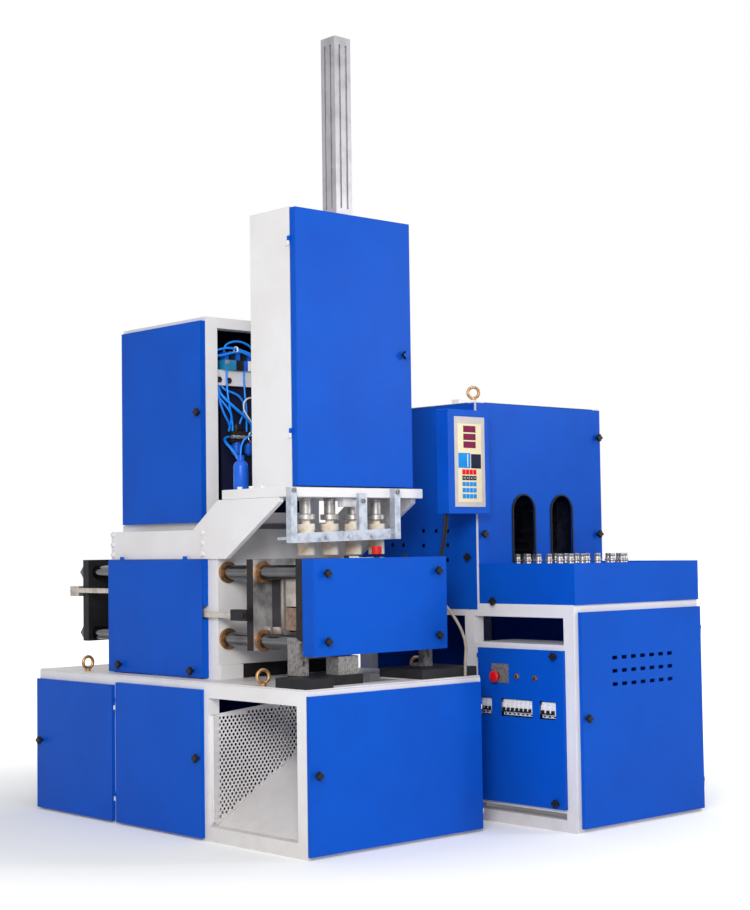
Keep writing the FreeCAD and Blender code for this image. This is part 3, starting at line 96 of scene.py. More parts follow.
# ---- light, floor and world ----
lamps = {
    "keyRight": {"at": (4.2, -4.7, 2.4), "aim": (0.2, -0.6, 1.2), "size": 0.9, "watts": 80},
    "fillLeft": {"at": (-3.8, -4.2, 2.6), "aim": (0.4, -0.4, 1.1), "size": 1.8, "watts": 178},
    "top": {"at": (-0.8, -1.8, 5.2), "aim": (0.3, -0.2, 0.6), "size": 2.6, "watts": 36},
}


def makeLamps():
    for name, facts in lamps.items():
        data = bpy.data.lights.new(name, "AREA")
        data.shape = "SQUARE"
        data.size = facts["size"]
        data.energy = facts["watts"]
        lamp = bpy.data.objects.new(name, data)
        lamp.location = facts["at"]
        aim = Vector(facts["aim"]) - Vector(facts["at"])
        lamp.rotation_euler = aim.to_track_quat("-Z", "Y").to_euler()
        bpy.context.scene.collection.objects.link(lamp)


backdrop = {"soft": (0.96, 0.98, 1.0, 1), "strength": 0.42, "plain": (1, 1, 1, 1)}


def shownRays(tree):  # 1 where the ray shows the backdrop: to the camera, in a gloss or through glass
    rays = addNode(tree, "ShaderNodeLightPath")
    glossy = addNode(tree, "ShaderNodeMath", operation="MAXIMUM")
    shown = addNode(tree, "ShaderNodeMath", operation="MAXIMUM")
    join(tree, (rays, "Is Camera Ray", glossy, 0), (rays, "Is Glossy Ray", glossy, 1),
         (glossy, "Value", shown, 0), (rays, "Is Transmission Ray", shown, 1))
    return shown


def makeWorld():
    world = bpy.data.worlds.new("studio")
    bpy.context.scene.world = world
    world.use_nodes = True
    tree = world.node_tree
    tree.nodes.clear()
    soft = addNode(tree, "ShaderNodeBackground",
                   {"Color": backdrop["soft"], "Strength": backdrop["strength"]})
    plain = addNode(tree, "ShaderNodeBackground", {"Color": backdrop["plain"]})
    mix = addNode(tree, "ShaderNodeMixShader")
    out = addNode(tree, "ShaderNodeOutputWorld")
    join(tree, (shownRays(tree), "Value", mix, "Fac"), (soft, "Background", mix, 1),
         (plain, "Background", mix, 2), (mix, "Shader", out, "Surface"))


floorSheet = {"half": 30, "colour": (0.9, 0.9, 0.9, 1), "start": 0.9, "end": 3.2, "near": 0.12, "glow": 0.85}


def makeFloor():  # it glows to white away from the machine, for the rays that show the backdrop alone
    shape = bmesh.new()
    bmesh.ops.create_grid(shape, x_segments=1, y_segments=1, size=floorSheet["half"])
    mesh = bpy.data.meshes.new("floor")
    shape.to_mesh(mesh)
    shape.free()
    floor = bpy.data.objects.new("floor", mesh)
    bpy.context.scene.collection.objects.link(floor)
    material, tree, base = newMaterial("paleFloor", Base_Color=floorSheet["colour"], Roughness=0.9,
                                       Specular_IOR_Level=0.1, Emission_Color=(1, 1, 1, 1))
    spot = addNode(tree, "ShaderNodeTexCoord")
    length = addNode(tree, "ShaderNodeVectorMath", operation="LENGTH")
    fade = addNode(tree, "ShaderNodeMapRange",
                   {"From Min": floorSheet["start"], "From Max": floorSheet["end"],
                    "To Min": floorSheet["near"], "To Max": floorSheet["glow"]})
    seen = addNode(tree, "ShaderNodeMath", operation="MULTIPLY")
    join(tree, (spot, "Object", length, 0), (length, "Value", fade, "Value"), (fade, "Result", seen, 0),
         (shownRays(tree), "Value", seen, 1), (seen, "Value", base, "Emission Strength"))
    mesh.materials.append(material)


makeLamps()
makeWorld()
makeFloor()
bpy.context.scene.view_settings.view_transform = "Standard"
print("stage made")


# ---- shader effects that several materials share ----
def newEffect(name, inputs, outputs):  # every effect reads the Object coordinates of its piece
    group = bpy.data.node_groups.new(name, "ShaderNodeTree")
    for label, value in inputs.items():
        socket = group.interface.new_socket(label, in_out="INPUT", socket_type="NodeSocketFloat")
        socket.default_value = value
    for label, kind in outputs.items():
        group.interface.new_socket(label, in_out="OUTPUT", socket_type="NodeSocket" + kind)
    kinds = ("NodeGroupInput", "NodeGroupOutput", "ShaderNodeTexCoord")
    return group, *(addNode(group, kind) for kind in kinds)


def makeCoatTexture():  # the fine orange peel of sprayed and baked paint
    tree, given, out, spot = newEffect("coatTexture", {"Scale": 700.0, "Depth": 0.2}, {"Normal": "Vector"})
    noise = addNode(tree, "ShaderNodeTexNoise", {"Detail": 2.0})
    bump = addNode(tree, "ShaderNodeBump", {"Distance": 0.001})
    join(tree, (spot, "Object", noise, "Vector"), (given, "Scale", noise, "Scale"),
         (noise, "Fac", bump, "Height"), (given, "Depth", bump, "Strength"), (bump, "Normal", out, "Normal"))
    return tree


def makePatches():  # wide soft blotches: 0 clean, 1 full
    tree, given, out, spot = newEffect("patches", {"Scale": 4.0, "Start": 0.5, "End": 0.75},
                                       {"Mask": "Float"})
    noise = addNode(tree, "ShaderNodeTexNoise", {"Detail": 6.0, "Roughness": 0.6})
    band = addNode(tree, "ShaderNodeMapRange", clamp=True)
    join(tree, (spot, "Object", noise, "Vector"), (given, "Scale", noise, "Scale"),
         (noise, "Fac", band, "Value"), (given, "Start", band, "From Min"), (given, "End", band, "From Max"),
         (band, "Result", out, "Mask"))
    return tree


def makeSpecks():  # small scattered chips, gathered where the wide noise is high
    tree, given, out, spot = newEffect("specks", {"Scale": 90.0, "Amount": 0.1}, {"Mask": "Float"})
    cells = addNode(tree, "ShaderNodeTexVoronoi")
    wide = addNode(tree, "ShaderNodeTexNoise", {"Scale": 5.0, "Detail": 3.0})
    reach = addNode(tree, "ShaderNodeMath", operation="MULTIPLY")
    band = addNode(tree, "ShaderNodeMath", operation="LESS_THAN")
    join(tree, (spot, "Object", cells, "Vector"), (spot, "Object", wide, "Vector"),
         (given, "Scale", cells, "Scale"), (wide, "Fac", reach, 0), (given, "Amount", reach, 1),
         (cells, "Distance", band, 0), (reach, "Value", band, 1), (band, "Value", out, "Mask"))
    return tree


def makeLowDirt():  # dirt that thins out from the floor up
    tree, given, out, spot = newEffect("lowDirt", {"Height": 0.25, "Amount": 0.6}, {"Mask": "Float"})
    split = addNode(tree, "ShaderNodeSeparateXYZ")
    noise = addNode(tree, "ShaderNodeTexNoise", {"Scale": 22.0, "Detail": 5.0})
    fall = addNode(tree, "ShaderNodeMapRange", {"To Min": 1.0, "To Max": 0.0}, clamp=True)
    both = addNode(tree, "ShaderNodeMath", operation="MULTIPLY")
    final = addNode(tree, "ShaderNodeMath", operation="MULTIPLY", use_clamp=True)
    join(tree, (spot, "Object", split, "Vector"), (spot, "Object", noise, "Vector"),
         (split, "Z", fall, "Value"), (given, "Height", fall, "From Max"), (fall, "Result", both, 0),
         (noise, "Fac", both, 1), (both, "Value", final, 0), (given, "Amount", final, 1),
         (final, "Value", out, "Mask"))
    return tree


def makeBrushing():  # long fine scratches along one axis
    tree, given, out, spot = newEffect(
        "brushing", {"Across X": 900.0, "Across Y": 900.0, "Across Z": 20.0, "Depth": 0.2},
        {"Mask": "Float", "Normal": "Vector"})
    stretch = addNode(tree, "ShaderNodeCombineXYZ")
    scaled = addNode(tree, "ShaderNodeVectorMath", operation="MULTIPLY")
    noise = addNode(tree, "ShaderNodeTexNoise", {"Scale": 1.0, "Detail": 3.0})
    bump = addNode(tree, "ShaderNodeBump", {"Distance": 0.0004})
    join(tree, *[(given, "Across " + axis, stretch, axis) for axis in "XYZ"], (spot, "Object", scaled, 0),
         (stretch, "Vector", scaled, 1), (scaled, "Vector", noise, "Vector"), (noise, "Fac", bump, "Height"),
         (given, "Depth", bump, "Strength"), (noise, "Fac", out, "Mask"), (bump, "Normal", out, "Normal"))
    return tree


effects = {"coatTexture": makeCoatTexture(), "patches": makePatches(), "specks": makeSpecks(),
           "lowDirt": makeLowDirt(), "brushing": makeBrushing()}


def place(tree, effect, **values):
    labels = {name.replace("_", " "): value for name, value in values.items()}
    return addNode(tree, "ShaderNodeGroup", labels, node_tree=effects[effect])


def mixColour(tree, mask, under, over):
    mix = addNode(tree, "ShaderNodeMix", data_type="RGBA")
    tree.links.new(mask, mix.inputs["Factor"])
    for name, value in (("A", under), ("B", over)):
        colour = [socket for socket in mix.inputs if socket.name == name and socket.type == "RGBA"][0]
        if isinstance(value, tuple):
            colour.default_value = (*value, 1)
        else:
            tree.links.new(value, colour)
    return [socket for socket in mix.outputs if socket.type == "RGBA"][0]


def spread(tree, mask, low, high):  # a roughness that follows a mask
    band = addNode(tree, "ShaderNodeMapRange", {"To Min": low, "To Max": high}, clamp=True)
    tree.links.new(mask, band.inputs["Value"])
    return band.outputs["Result"]


def feed(tree, base, colour, roughness, normal):
    for socket, source in (("Base Color", colour), ("Roughness", roughness), ("Normal", normal)):
        tree.links.new(source, base.inputs[socket])


paints = {
    "bluePaint": {"colour": (0.0024, 0.0912, 0.564), "worn": (0.0036, 0.072, 0.468),
                  "dirt": (0.048, 0.084, 0.192), "low": 0.3, "high": 0.4, "grain": 520.0, "depth": 0.55,
                  "specks": 0.03, "splash": 0.08, "shine": 0.06},
    "whitePaint": {"colour": (0.84, 0.822, 0.828), "worn": (0.744, 0.714, 0.702),
                   "dirt": (0.48, 0.384, 0.312), "low": 0.38, "high": 0.55, "grain": 520.0, "depth": 0.12,
                   "specks": 0.13, "splash": 0.45, "shine": 0.3},
    "deckPaint": {"colour": (0.792, 0.756, 0.756), "worn": (0.6, 0.54, 0.504), "dirt": (0.216, 0.144, 0.108),
                  "low": 0.4, "high": 0.6, "grain": 420.0, "depth": 0.12, "specks": 0.2, "splash": 0.0,
                  "shine": 0.3},
    "blackPaint": {"colour": (0.012, 0.012, 0.0144), "worn": (0.036, 0.0348, 0.0372),
                   "dirt": (0.12, 0.102, 0.084), "low": 0.45, "high": 0.6, "grain": 480.0, "depth": 0.2,
                   "specks": 0.06, "splash": 0.0, "shine": 0.12},
    # Dark navy painted shade, laid on inner faces that stand in deep shade.
    "paintedShadeNavy": {"colour": (0.014, 0.017, 0.05), "worn": (0.01, 0.012, 0.035), "dirt": (0.02, 0.02, 0.035),
                   "low": 0.5, "high": 0.6, "grain": 480.0, "depth": 0.1, "specks": 0.03, "splash": 0.0,
                   "shine": 0.05},
}


def makePaint(name):
    facts = paints[name]
    material, tree, base = newMaterial(name, Specular_IOR_Level=facts["shine"])
    wide = place(tree, "patches", Scale=3.2, Start=0.42, End=0.8)
    fine = place(tree, "patches", Scale=26.0, Start=0.55, End=0.95)
    chips = place(tree, "specks", Scale=120.0, Amount=facts["specks"])
    splash = place(tree, "lowDirt", Height=0.3, Amount=facts["splash"])
    coat = place(tree, "coatTexture", Scale=facts["grain"], Depth=facts["depth"])
    colour = mixColour(tree, wide.outputs["Mask"], facts["colour"], facts["worn"])
    colour = mixColour(tree, splash.outputs["Mask"], colour, facts["dirt"])
    colour = mixColour(tree, chips.outputs["Mask"], colour, facts["dirt"])
    roughness = spread(tree, fine.outputs["Mask"], facts["low"], facts["high"])
    feed(tree, base, colour, roughness, coat.outputs["Normal"])
    return material


metals = {
    "machinedSteel": {"colour": (0.40, 0.40, 0.41), "dark": (0.17, 0.16, 0.15), "metal": 1.0, "low": 0.26,
                      "high": 0.42, "across": (900.0, 60.0, 900.0), "depth": 0.15},
    "turnedSteel": {"colour": (0.50, 0.48, 0.465), "dark": (0.26, 0.24, 0.22), "metal": 0.65, "low": 0.3,
                    "high": 0.44, "across": (40.0, 40.0, 900.0), "depth": 0.08, "stain": 55.0},
    "wornSteel": {"colour": (0.52, 0.48, 0.44), "dark": (0.26, 0.21, 0.17), "metal": 0.8, "low": 0.35,
                  "high": 0.5, "across": (300.0, 300.0, 60.0), "depth": 0.25},
    "polishedPlate": {"colour": (0.62, 0.60, 0.60), "dark": (0.12, 0.11, 0.115), "metal": 0.55, "low": 0.28,
                      "high": 0.42, "across": (40.0, 900.0, 500.0), "depth": 0.12, "stain": 9.0},
    "mottledPlate": {"colour": (0.276, 0.259, 0.253), "dark": (0.103, 0.0978, 0.0978), "metal": 0.3,
                     "low": 0.4, "high": 0.6, "across": (500.0, 500.0, 500.0), "depth": 0.2, "stain": 110.0,
                     "shine": 0.2},
    "darkSteel": {"colour": (0.023, 0.0218, 0.0242), "dark": (0.0115, 0.0103, 0.0115), "metal": 0.0,
                  "low": 0.45, "high": 0.6, "across": (300.0, 300.0, 300.0), "depth": 0.2, "shine": 0.12},
    "rustySteel": {"colour": (0.345, 0.23, 0.172), "dark": (0.149, 0.0862, 0.0575), "metal": 0.3,
                   "low": 0.55, "high": 0.75, "across": (220.0, 220.0, 220.0), "depth": 0.5, "stain": 40.0},
    "brushedAluminium": {"colour": (0.517, 0.552, 0.609), "dark": (0.276, 0.322, 0.414), "metal": 0.35,
                         "low": 0.42, "high": 0.55, "across": (30.0, 900.0, 900.0), "depth": 0.14,
                         "stain": 34.0, "shine": 0.2},
    "profileAluminium": {"colour": (0.42, 0.41, 0.43), "dark": (0.33, 0.32, 0.34), "metal": 0.8, "low": 0.36,
                         "high": 0.48, "across": (900.0, 900.0, 12.0), "depth": 0.1},
    "chrome": {"colour": (0.72, 0.72, 0.74), "dark": (0.45, 0.45, 0.47), "metal": 1.0, "low": 0.08,
               "high": 0.16, "across": (400.0, 20.0, 400.0), "depth": 0.03},
    # groundBar: its very dark base colour is a painted reflection, standing in for the dark surroundings the
    # ground bars reflect.
    "groundBar": {"colour": (0.13, 0.13, 0.135), "dark": (0.085, 0.085, 0.09), "metal": 1.0, "low": 0.1,
                  "high": 0.18, "across": (300.0, 12.0, 300.0), "depth": 0.02, "stain": 9.0},
    "bronze": {"colour": (0.42, 0.22, 0.10), "dark": (0.14, 0.065, 0.03), "metal": 0.75, "low": 0.36,
               "high": 0.55, "across": (260.0, 260.0, 260.0), "depth": 0.3, "stain": 90.0},
    "goldZinc": {"colour": (0.50, 0.29, 0.13), "dark": (0.20, 0.10, 0.05), "metal": 0.85, "low": 0.3,
                 "high": 0.48, "across": (260.0, 260.0, 260.0), "depth": 0.2, "stain": 60.0},
}


def makeMetal(name):
    facts = metals[name]
    material, tree, base = newMaterial(name, Metallic=facts["metal"],
                                       Specular_IOR_Level=facts.get("shine", 0.5))
    across = dict(zip(("Across_X", "Across_Y", "Across_Z"), facts["across"]))
    lines = place(tree, "brushing", Depth=facts["depth"], **across)
    stains = place(tree, "patches", Scale=facts.get("stain", 18.0), Start=0.45, End=0.7)
    colour = mixColour(tree, stains.outputs["Mask"], facts["colour"], facts["dark"])
    roughness = spread(tree, lines.outputs["Mask"], facts["low"], facts["high"])
    feed(tree, base, colour, roughness, lines.outputs["Normal"])
    return material


plastics = {
    "blackPlastic": {"colour": (0.0072, 0.0072, 0.0084), "worn": (0.0192, 0.0192, 0.0204), "low": 0.4,
                     "high": 0.55, "shine": 0.2},
    "blackRubber": {"colour": (0.012, 0.012, 0.012), "worn": (0.0264, 0.0252, 0.024), "low": 0.6,
                    "high": 0.8, "shine": 0.2},
    "whitePlastic": {"colour": (0.95, 0.95, 0.95), "worn": (0.95, 0.95, 0.924), "low": 0.35, "high": 0.5,
                     "shine": 0.2},
    "redPlastic": {"colour": (0.792, 0.0096, 0.0144), "worn": (0.6, 0.0096, 0.012), "low": 0.25, "high": 0.4,
                   "shine": 0.3},
    "blueTube": {"colour": (0.0048, 0.288, 0.95), "worn": (0.0048, 0.192, 0.936), "low": 0.22, "high": 0.35,
                 "shine": 0.4},
    "whiteTube": {"colour": (0.864, 0.816, 0.72), "worn": (0.66, 0.6, 0.504), "low": 0.3, "high": 0.4},
    "tanBraid": {"colour": (0.38, 0.32, 0.26), "worn": (0.16, 0.12, 0.09), "low": 0.6, "high": 0.8},
    "tealPaint": {"colour": (0.012, 0.264, 0.504), "worn": (0.012, 0.192, 0.396), "low": 0.35, "high": 0.5},
    "blueCap": {"colour": (0.0072, 0.12, 0.672), "worn": (0.0072, 0.096, 0.552), "low": 0.3, "high": 0.45,
                "shine": 0.3},
    "fascia": {"colour": (0.876, 0.768, 0.528), "worn": (0.828, 0.708, 0.48), "low": 0.45, "high": 0.55,
               "shine": 0.05},
    "frameSilver": {"colour": (0.624, 0.576, 0.558), "worn": (0.528, 0.492, 0.48), "low": 0.4, "high": 0.5,
                    "shine": 0.1},
    "displayRed": {"colour": (0.264, 0.0168, 0.084), "worn": (0.216, 0.0144, 0.066), "low": 0.45,
                   "high": 0.55, "shine": 0.05},
    "keyRed": {"colour": (0.768, 0.0072, 0.0144), "worn": (0.696, 0.024, 0.036), "low": 0.45, "high": 0.55,
               "shine": 0.05},
    "keyBlue": {"colour": (0.0096, 0.252, 0.72), "worn": (0.024, 0.324, 0.768), "low": 0.45, "high": 0.55,
                "shine": 0.05},
    "keyNavy": {"colour": (0.0084, 0.0132, 0.036), "worn": (0.024, 0.0336, 0.066), "low": 0.45, "high": 0.55,
                "shine": 0.05},
}


def makePlastic(name):
    facts = plastics[name]
    material, tree, base = newMaterial(name, Specular_IOR_Level=facts.get("shine", 0.4))
    tone = place(tree, "patches", Scale=30.0, Start=0.35, End=0.85)
    grain = place(tree, "coatTexture", Scale=1400.0, Depth=0.06)
    colour = mixColour(tree, tone.outputs["Mask"], facts["colour"], facts["worn"])
    roughness = spread(tree, tone.outputs["Mask"], facts["low"], facts["high"])
    feed(tree, base, colour, roughness, grain.outputs["Normal"])
    return material


# The left half of each head turns tan, which is partly real grime and partly painted shade.
headTones = {"clean": (0.94, 0.89, 0.76), "grimeAndShade": (0.85, 0.53, 0.30), "pitch": 0.102, "stainedShaded": 0.028,
             "bare": 0.054}


def makeGrimeShadeNylon():  # turned nylon heads, each darkened on its left half: partly real grime, partly painted shade
    material, tree, base = newMaterial("grimeShadeNylon", Specular_IOR_Level=0.3)
    spot = addNode(tree, "ShaderNodeTexCoord")
    split = addNode(tree, "ShaderNodeSeparateXYZ")
    across = addNode(tree, "ShaderNodeMath", {1: headTones["pitch"], 2: 0.0}, operation="WRAP")
    side = addNode(tree, "ShaderNodeMapRange",
                   {"From Min": headTones["bare"], "From Max": headTones["stainedShaded"]}, clamp=True)
    blots = place(tree, "patches", Scale=60.0, Start=0.4, End=0.7)
    both = addNode(tree, "ShaderNodeMath", operation="MULTIPLY", use_clamp=True)
    grain = place(tree, "coatTexture", Scale=900.0, Depth=0.1)
    join(tree, (spot, "Object", split, "Vector"), (split, "X", across, 0), (across, "Value", side, "Value"),
         (side, "Result", both, 0), (blots, "Mask", both, 1))
    colour = mixColour(tree, both.outputs["Value"], headTones["clean"], headTones["grimeAndShade"])
    feed(tree, base, colour, spread(tree, both.outputs["Value"], 0.4, 0.6), grain.outputs["Normal"])
    return material


mouldTones = {"block": (0.042, 0.04, 0.046), "face": (0.55, 0.52, 0.50), "line": -0.446, "blend": 0.001}


def makeMouldSteel():  # blued block with a bright plate on its parting side
    material, tree, base = newMaterial("mouldSteel", Metallic=0.6)
    spot = addNode(tree, "ShaderNodeTexCoord")
    split = addNode(tree, "ShaderNodeSeparateXYZ")
    bright = addNode(tree, "ShaderNodeMapRange", {"From Min": mouldTones["line"] + mouldTones["blend"],
                                                  "From Max": mouldTones["line"]}, clamp=True)
    lines = place(tree, "brushing", Across_X=40.0, Across_Y=700.0, Across_Z=700.0, Depth=0.1)
    join(tree, (spot, "Object", split, "Vector"), (split, "Y", bright, "Value"))
    colour = mixColour(tree, bright.outputs["Result"], mouldTones["block"], mouldTones["face"])
    feed(tree, base, colour, spread(tree, lines.outputs["Mask"], 0.35, 0.5), lines.outputs["Normal"])
    return material


materials = {name: makePaint(name) for name in paints}
materials.update({name: makeMetal(name) for name in metals})
materials.update({name: makePlastic(name) for name in plastics})
materials.update({"grimeShadeNylon": makeGrimeShadeNylon(), "mouldSteel": makeMouldSteel()})
print("materials made", len(materials))

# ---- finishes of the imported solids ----
finishes = {
    "bluePaint": ["base_panels", "clamp_cover", "oven_panels", "preform_tray", "oven_housing",
                  "oven_front_panel", "control_box", "front_cover", "base_front_door",
                  "base_side_door_front", "base_side_door_rear", "tall_cabinet_door", "valve_cabinet_door",
                  "electrics_door", "oven_front_door"],
    "whitePaint": ["base_frame", "bottle_chute", "support_plates", "gusset_arms", "nozzle_plate",
                   "tall_cabinet", "valve_cabinet", "oven_frame", "electrics_box", "structure_bolts"],
    "deckPaint": ["base_deck"],
    "blackPaint": ["slide_pads", "rear_plate"],
    "darkSteel": ["moving_platen", "front_platen"],
    "machinedSteel": ["sync_pinion", "stretch_carriage", "toggle_a", "toggle_b", "heating_lamps"],
    "wornSteel": ["front_rack", "rear_rack", "rack_guide"],
    "brushedAluminium": ["guide_bracket", "clamp_cylinder"],
    "mouldSteel": ["rear_mould", "front_mould"],
    "profileAluminium": ["stretch_cylinder"],
    "groundBar": ["tie_bars", "clamp_rod"],
    "bronze": ["guide_bushes", "platen_bushes"],
    "goldZinc": ["lifting_eyes"],
    "blackPlastic": ["cover_knobs"],
    "blackRubber": ["arch_trims"],
    "grimeShadeNylon": ["seal_heads"],
}


def dress(thing, material):
    thing.data.materials.clear()
    thing.data.materials.append(materials[material])


for finish, names in finishes.items():
    for name in names:
        dress(nodes[name], finish)
print("packed solids dressed")


# A few imported solids carry small fittings of another finish; their faces are found by a box in mm. The dark
# navy boxes paint shade onto the inner faces of the valve cabinet and the oven hood.
fittings = {
    "base_front_door": [("blackPlastic", (-364, -801, 238), (-334, -780.5, 266))],
    "base_side_door_front": [("blackPlastic", (-411, -248, 251), (-390.5, -220, 279))],
    "base_side_door_rear": [("blackPlastic", (-411, 714, 239), (-390.5, 742, 267))],
    "tall_cabinet_door": [("blackPlastic", (199, -606, 1567), (227, -585.5, 1595))],
    "valve_cabinet_door": [("blackPlastic", (-290, -106, 1389), (-269.5, -78, 1417))],
    # painted shade: the cabinet's inner faces are darkened to navy, then the front rails are set back to
    # white
    "valve_cabinet": [("paintedShadeNavy", (-247, -99, 1066), (247, 394, 1729)),
                      ("whitePaint", (-249, -101, 1020), (-197, -49, 1731)),
                      ("whitePaint", (197, -101, 1020), (249, -49, 1731)),
                      ("whitePaint", (-249, -101, 1693), (249, -49, 1731)),
                      ("whitePaint", (-199, -75, 1501), (199, -53, 1556))],
    "oven_front_door": [("blackPlastic", (557, -1076, 357), (585, -1055.5, 385))],
    # painted shade: the frame members inside the oven hood are darkened to navy
    "oven_frame": [("paintedShadeNavy", (536, -609, 743), (1189, 9, 1439))],
    "electrics_door": [("blackPlastic", (501, -982, 558), (521.5, -954, 586)),
                       ("blackPlastic", (501, -981, 79), (521.5, -953, 107)),
                       ("mottledPlate", (515, -757, 473), (521.6, -677, 539)),
                       ("machinedSteel", (515, -890, 484), (521.5, -784, 511))],
    "front_cover": [("blackPlastic", (-255, -724, 633), (-226, -703.5, 873)),
                    ("blackPlastic", (226, -724, 633), (255, -703.5, 873))],
    "front_platen": [("mottledPlate", (-289, -641, 540), (-249, -570, 658)),
                     ("mottledPlate", (249, -641, 540), (289, -570, 658)),
                     ("redPlastic", (10, -660, 915.8), (80, -600, 950))],
    "moving_platen": [("polishedPlate", (-288, -399.2, 609), (288, -398.8, 906))],
    "front_rack": [("darkSteel", (-330, -399, 700), (-287, -312, 746))],
    "slide_pads": [("mottledPlate", (-376, -760, 545), (376, -400, 620))],
    "support_plates": [("blackPaint", (-200, -226, 509), (200, -118, 556.5))],
    "clamp_cover": [("machinedSteel", (-340, -60, 560), (-313.5, -20, 600))],
}


def dressFitting(thing, finish, lowCorner, highCorner):
    thing.data.materials.append(materials[finish])
    index = len(thing.data.materials) - 1
    for face in thing.data.polygons:
        spot = face.center / mm
        if all(a <= x <= b for a, x, b in zip(lowCorner, spot, highCorner)):
            face.material_index = index


for name, boxes in fittings.items():
    for finish, lowCorner, highCorner in boxes:
        dressFitting(nodes[name], finish, lowCorner, highCorner)


# Folded sheet and machined blocks have broken edges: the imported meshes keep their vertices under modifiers.
edges = {
    1.6: ["base_front_door", "base_side_door_front", "base_side_door_rear", "tall_cabinet_door",
          "valve_cabinet_door", "electrics_door", "oven_front_door", "clamp_cover",
          "tall_cabinet", "control_box", "electrics_box"],
    2.5: ["base_frame", "oven_frame", "valve_cabinet", "gusset_arms", "nozzle_plate", "base_deck"],
    1.0: ["moving_platen", "front_platen", "rear_plate", "support_plates", "front_mould", "rear_mould",
          "guide_bracket", "slide_pads", "front_rack", "rear_rack", "rack_guide", "stretch_cylinder",
          "cover_knobs", "structure_bolts"],
}


def breakEdges(thing, width):
    weld = thing.modifiers.new("weld", "WELD")
    weld.merge_threshold = 0.01 * mm
    bevel = thing.modifiers.new("brokenEdges", "BEVEL")
    bevel.width = width * mm
    bevel.segments = 2
    bevel.limit_method = "ANGLE"
    bevel.angle_limit = math.radians(40)
    bevel.harden_normals = True


for width, names in edges.items():
    for name in names:
        breakEdges(nodes[name], width)
print("edges broken")

# ---- mesh helpers: every part is drawn in mm, in the frame of the machine ----
towards = {
    "Z": Matrix.Identity(4),
    "-Z": Matrix.Rotation(math.pi, 4, "X"),
    "Y": Matrix.Rotation(-math.pi / 2, 4, "X"),
    "-Y": Matrix.Rotation(math.pi / 2, 4, "X"),
    "X": Matrix.Rotation(math.pi / 2, 4, "Y"),
    "-X": Matrix.Rotation(-math.pi / 2, 4, "Y"),
}


def roundEdges(part, radius):
    bmesh.ops.bevel(part, geom=part.edges[:], offset=radius, segments=2, profile=0.5, affect="EDGES",
                    material=-1, clamp_overlap=True)


def blockPart(lowCorner, highCorner, radius):
    part = bmesh.new()
    size = Vector(highCorner) - Vector(lowCorner)
    middle = (Vector(highCorner) + Vector(lowCorner)) / 2
    bmesh.ops.create_cube(part, size=1, matrix=Matrix.Translation(middle) @ Matrix.Diagonal((*size, 1)))
    roundEdges(part, radius)
    return part


def turnedPart(outline, steps, at, axis="Z"):  # outline: radius and distance along the axis, in mm
    part = bmesh.new()
    rim = [part.verts.new((radius, 0, along)) for radius, along in outline]
    line = [part.edges.new(pair) for pair in zip(rim, rim[1:])]
    bmesh.ops.spin(part, geom=rim + line, cent=(0, 0, 0), axis=(0, 0, 1), angle=math.tau, steps=steps,
                   use_merge=True)
    bmesh.ops.remove_doubles(part, verts=part.verts[:], dist=0.001)
    bmesh.ops.recalc_face_normals(part, faces=part.faces[:])
    bmesh.ops.transform(part, matrix=Matrix.Translation(at) @ towards[axis], verts=part.verts[:])
    return part


def prismPart(points, depth, at, axis, radius):  # a flat outline pushed along an axis
    part = bmesh.new()
    corners = [part.verts.new((x, y, 0)) for x, y in points]
    face = part.faces.new(corners)
    pushed = bmesh.ops.extrude_face_region(part, geom=[face])
    moved = [item for item in pushed["geom"] if isinstance(item, bmesh.types.BMVert)]
    bmesh.ops.translate(part, vec=(0, 0, depth), verts=moved)
    bmesh.ops.recalc_face_normals(part, faces=part.faces[:])
    roundEdges(part, radius)
    bmesh.ops.transform(part, matrix=Matrix.Translation(at) @ towards[axis], verts=part.verts[:])
    return part


def newPiece(name, parts, finishes, slot, body, *replaced):
    whole = bmesh.new()
    for part, index in parts:
        for face in part.faces:
            face.material_index = index
            face.smooth = True
        carrier = bpy.data.meshes.new("carrier")
        part.to_mesh(carrier)
        part.free()
        whole.from_mesh(carrier)
        bpy.data.meshes.remove(carrier)
    bmesh.ops.scale(whole, vec=(mm, mm, mm), verts=whole.verts[:])
    mesh = bpy.data.meshes.new(name)
    whole.to_mesh(mesh)
    whole.free()
    mesh.set_sharp_from_angle(angle=math.radians(35))
    for finish in finishes:
        mesh.materials.append(materials[finish])
    piece = bpy.data.objects.new(name, mesh)
    bpy.context.scene.collection.objects.link(piece)
    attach(piece, body)
    if replaced:
        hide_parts(*replaced)
    return piece


# ---- thumb knobs ----
knobs = {
    "radius": 11.9, "lobe": 1.7, "lobes": 4, "stepsPerLobe": 9, "dish": 1,
    "rings": [(0.93, 8.2), (1, 9.7), (1, 17.4), (0.86, 19.9)],  # share of the radius, height over the cover
    "spots": {
        "base_front_door": [(-349, -780, 252, "-Y")],
        "base_side_door_front": [(-390, -234, 265, "-X")],
        "base_side_door_rear": [(-390, 728, 253, "-X")],
        "tall_cabinet_door": [(213, -585, 1581, "-Y")],
        "valve_cabinet_door": [(-269, -92, 1403, "-X")],
        "oven_front_door": [(571, -1055, 371, "-Y")],
        "electrics_door": [(522, -968, 572, "-X"), (522, -967, 93, "-X")],
        "clamp_frame": [(x, -703, z, "-Y") for x in (-240.5, 240.5) for z in (647, 859)],
        "machine": [(-313, 327, 540, "-X"), (-313, -102, 536, "-X"), (533, -570, 900, "-X"),
                    (535, -686, 748, "-X"), (555, -612, 979, "-Y"), (1170, -612, 1333, "-Y"),
                    (1164, -612, 976, "-Y")],
    },
}


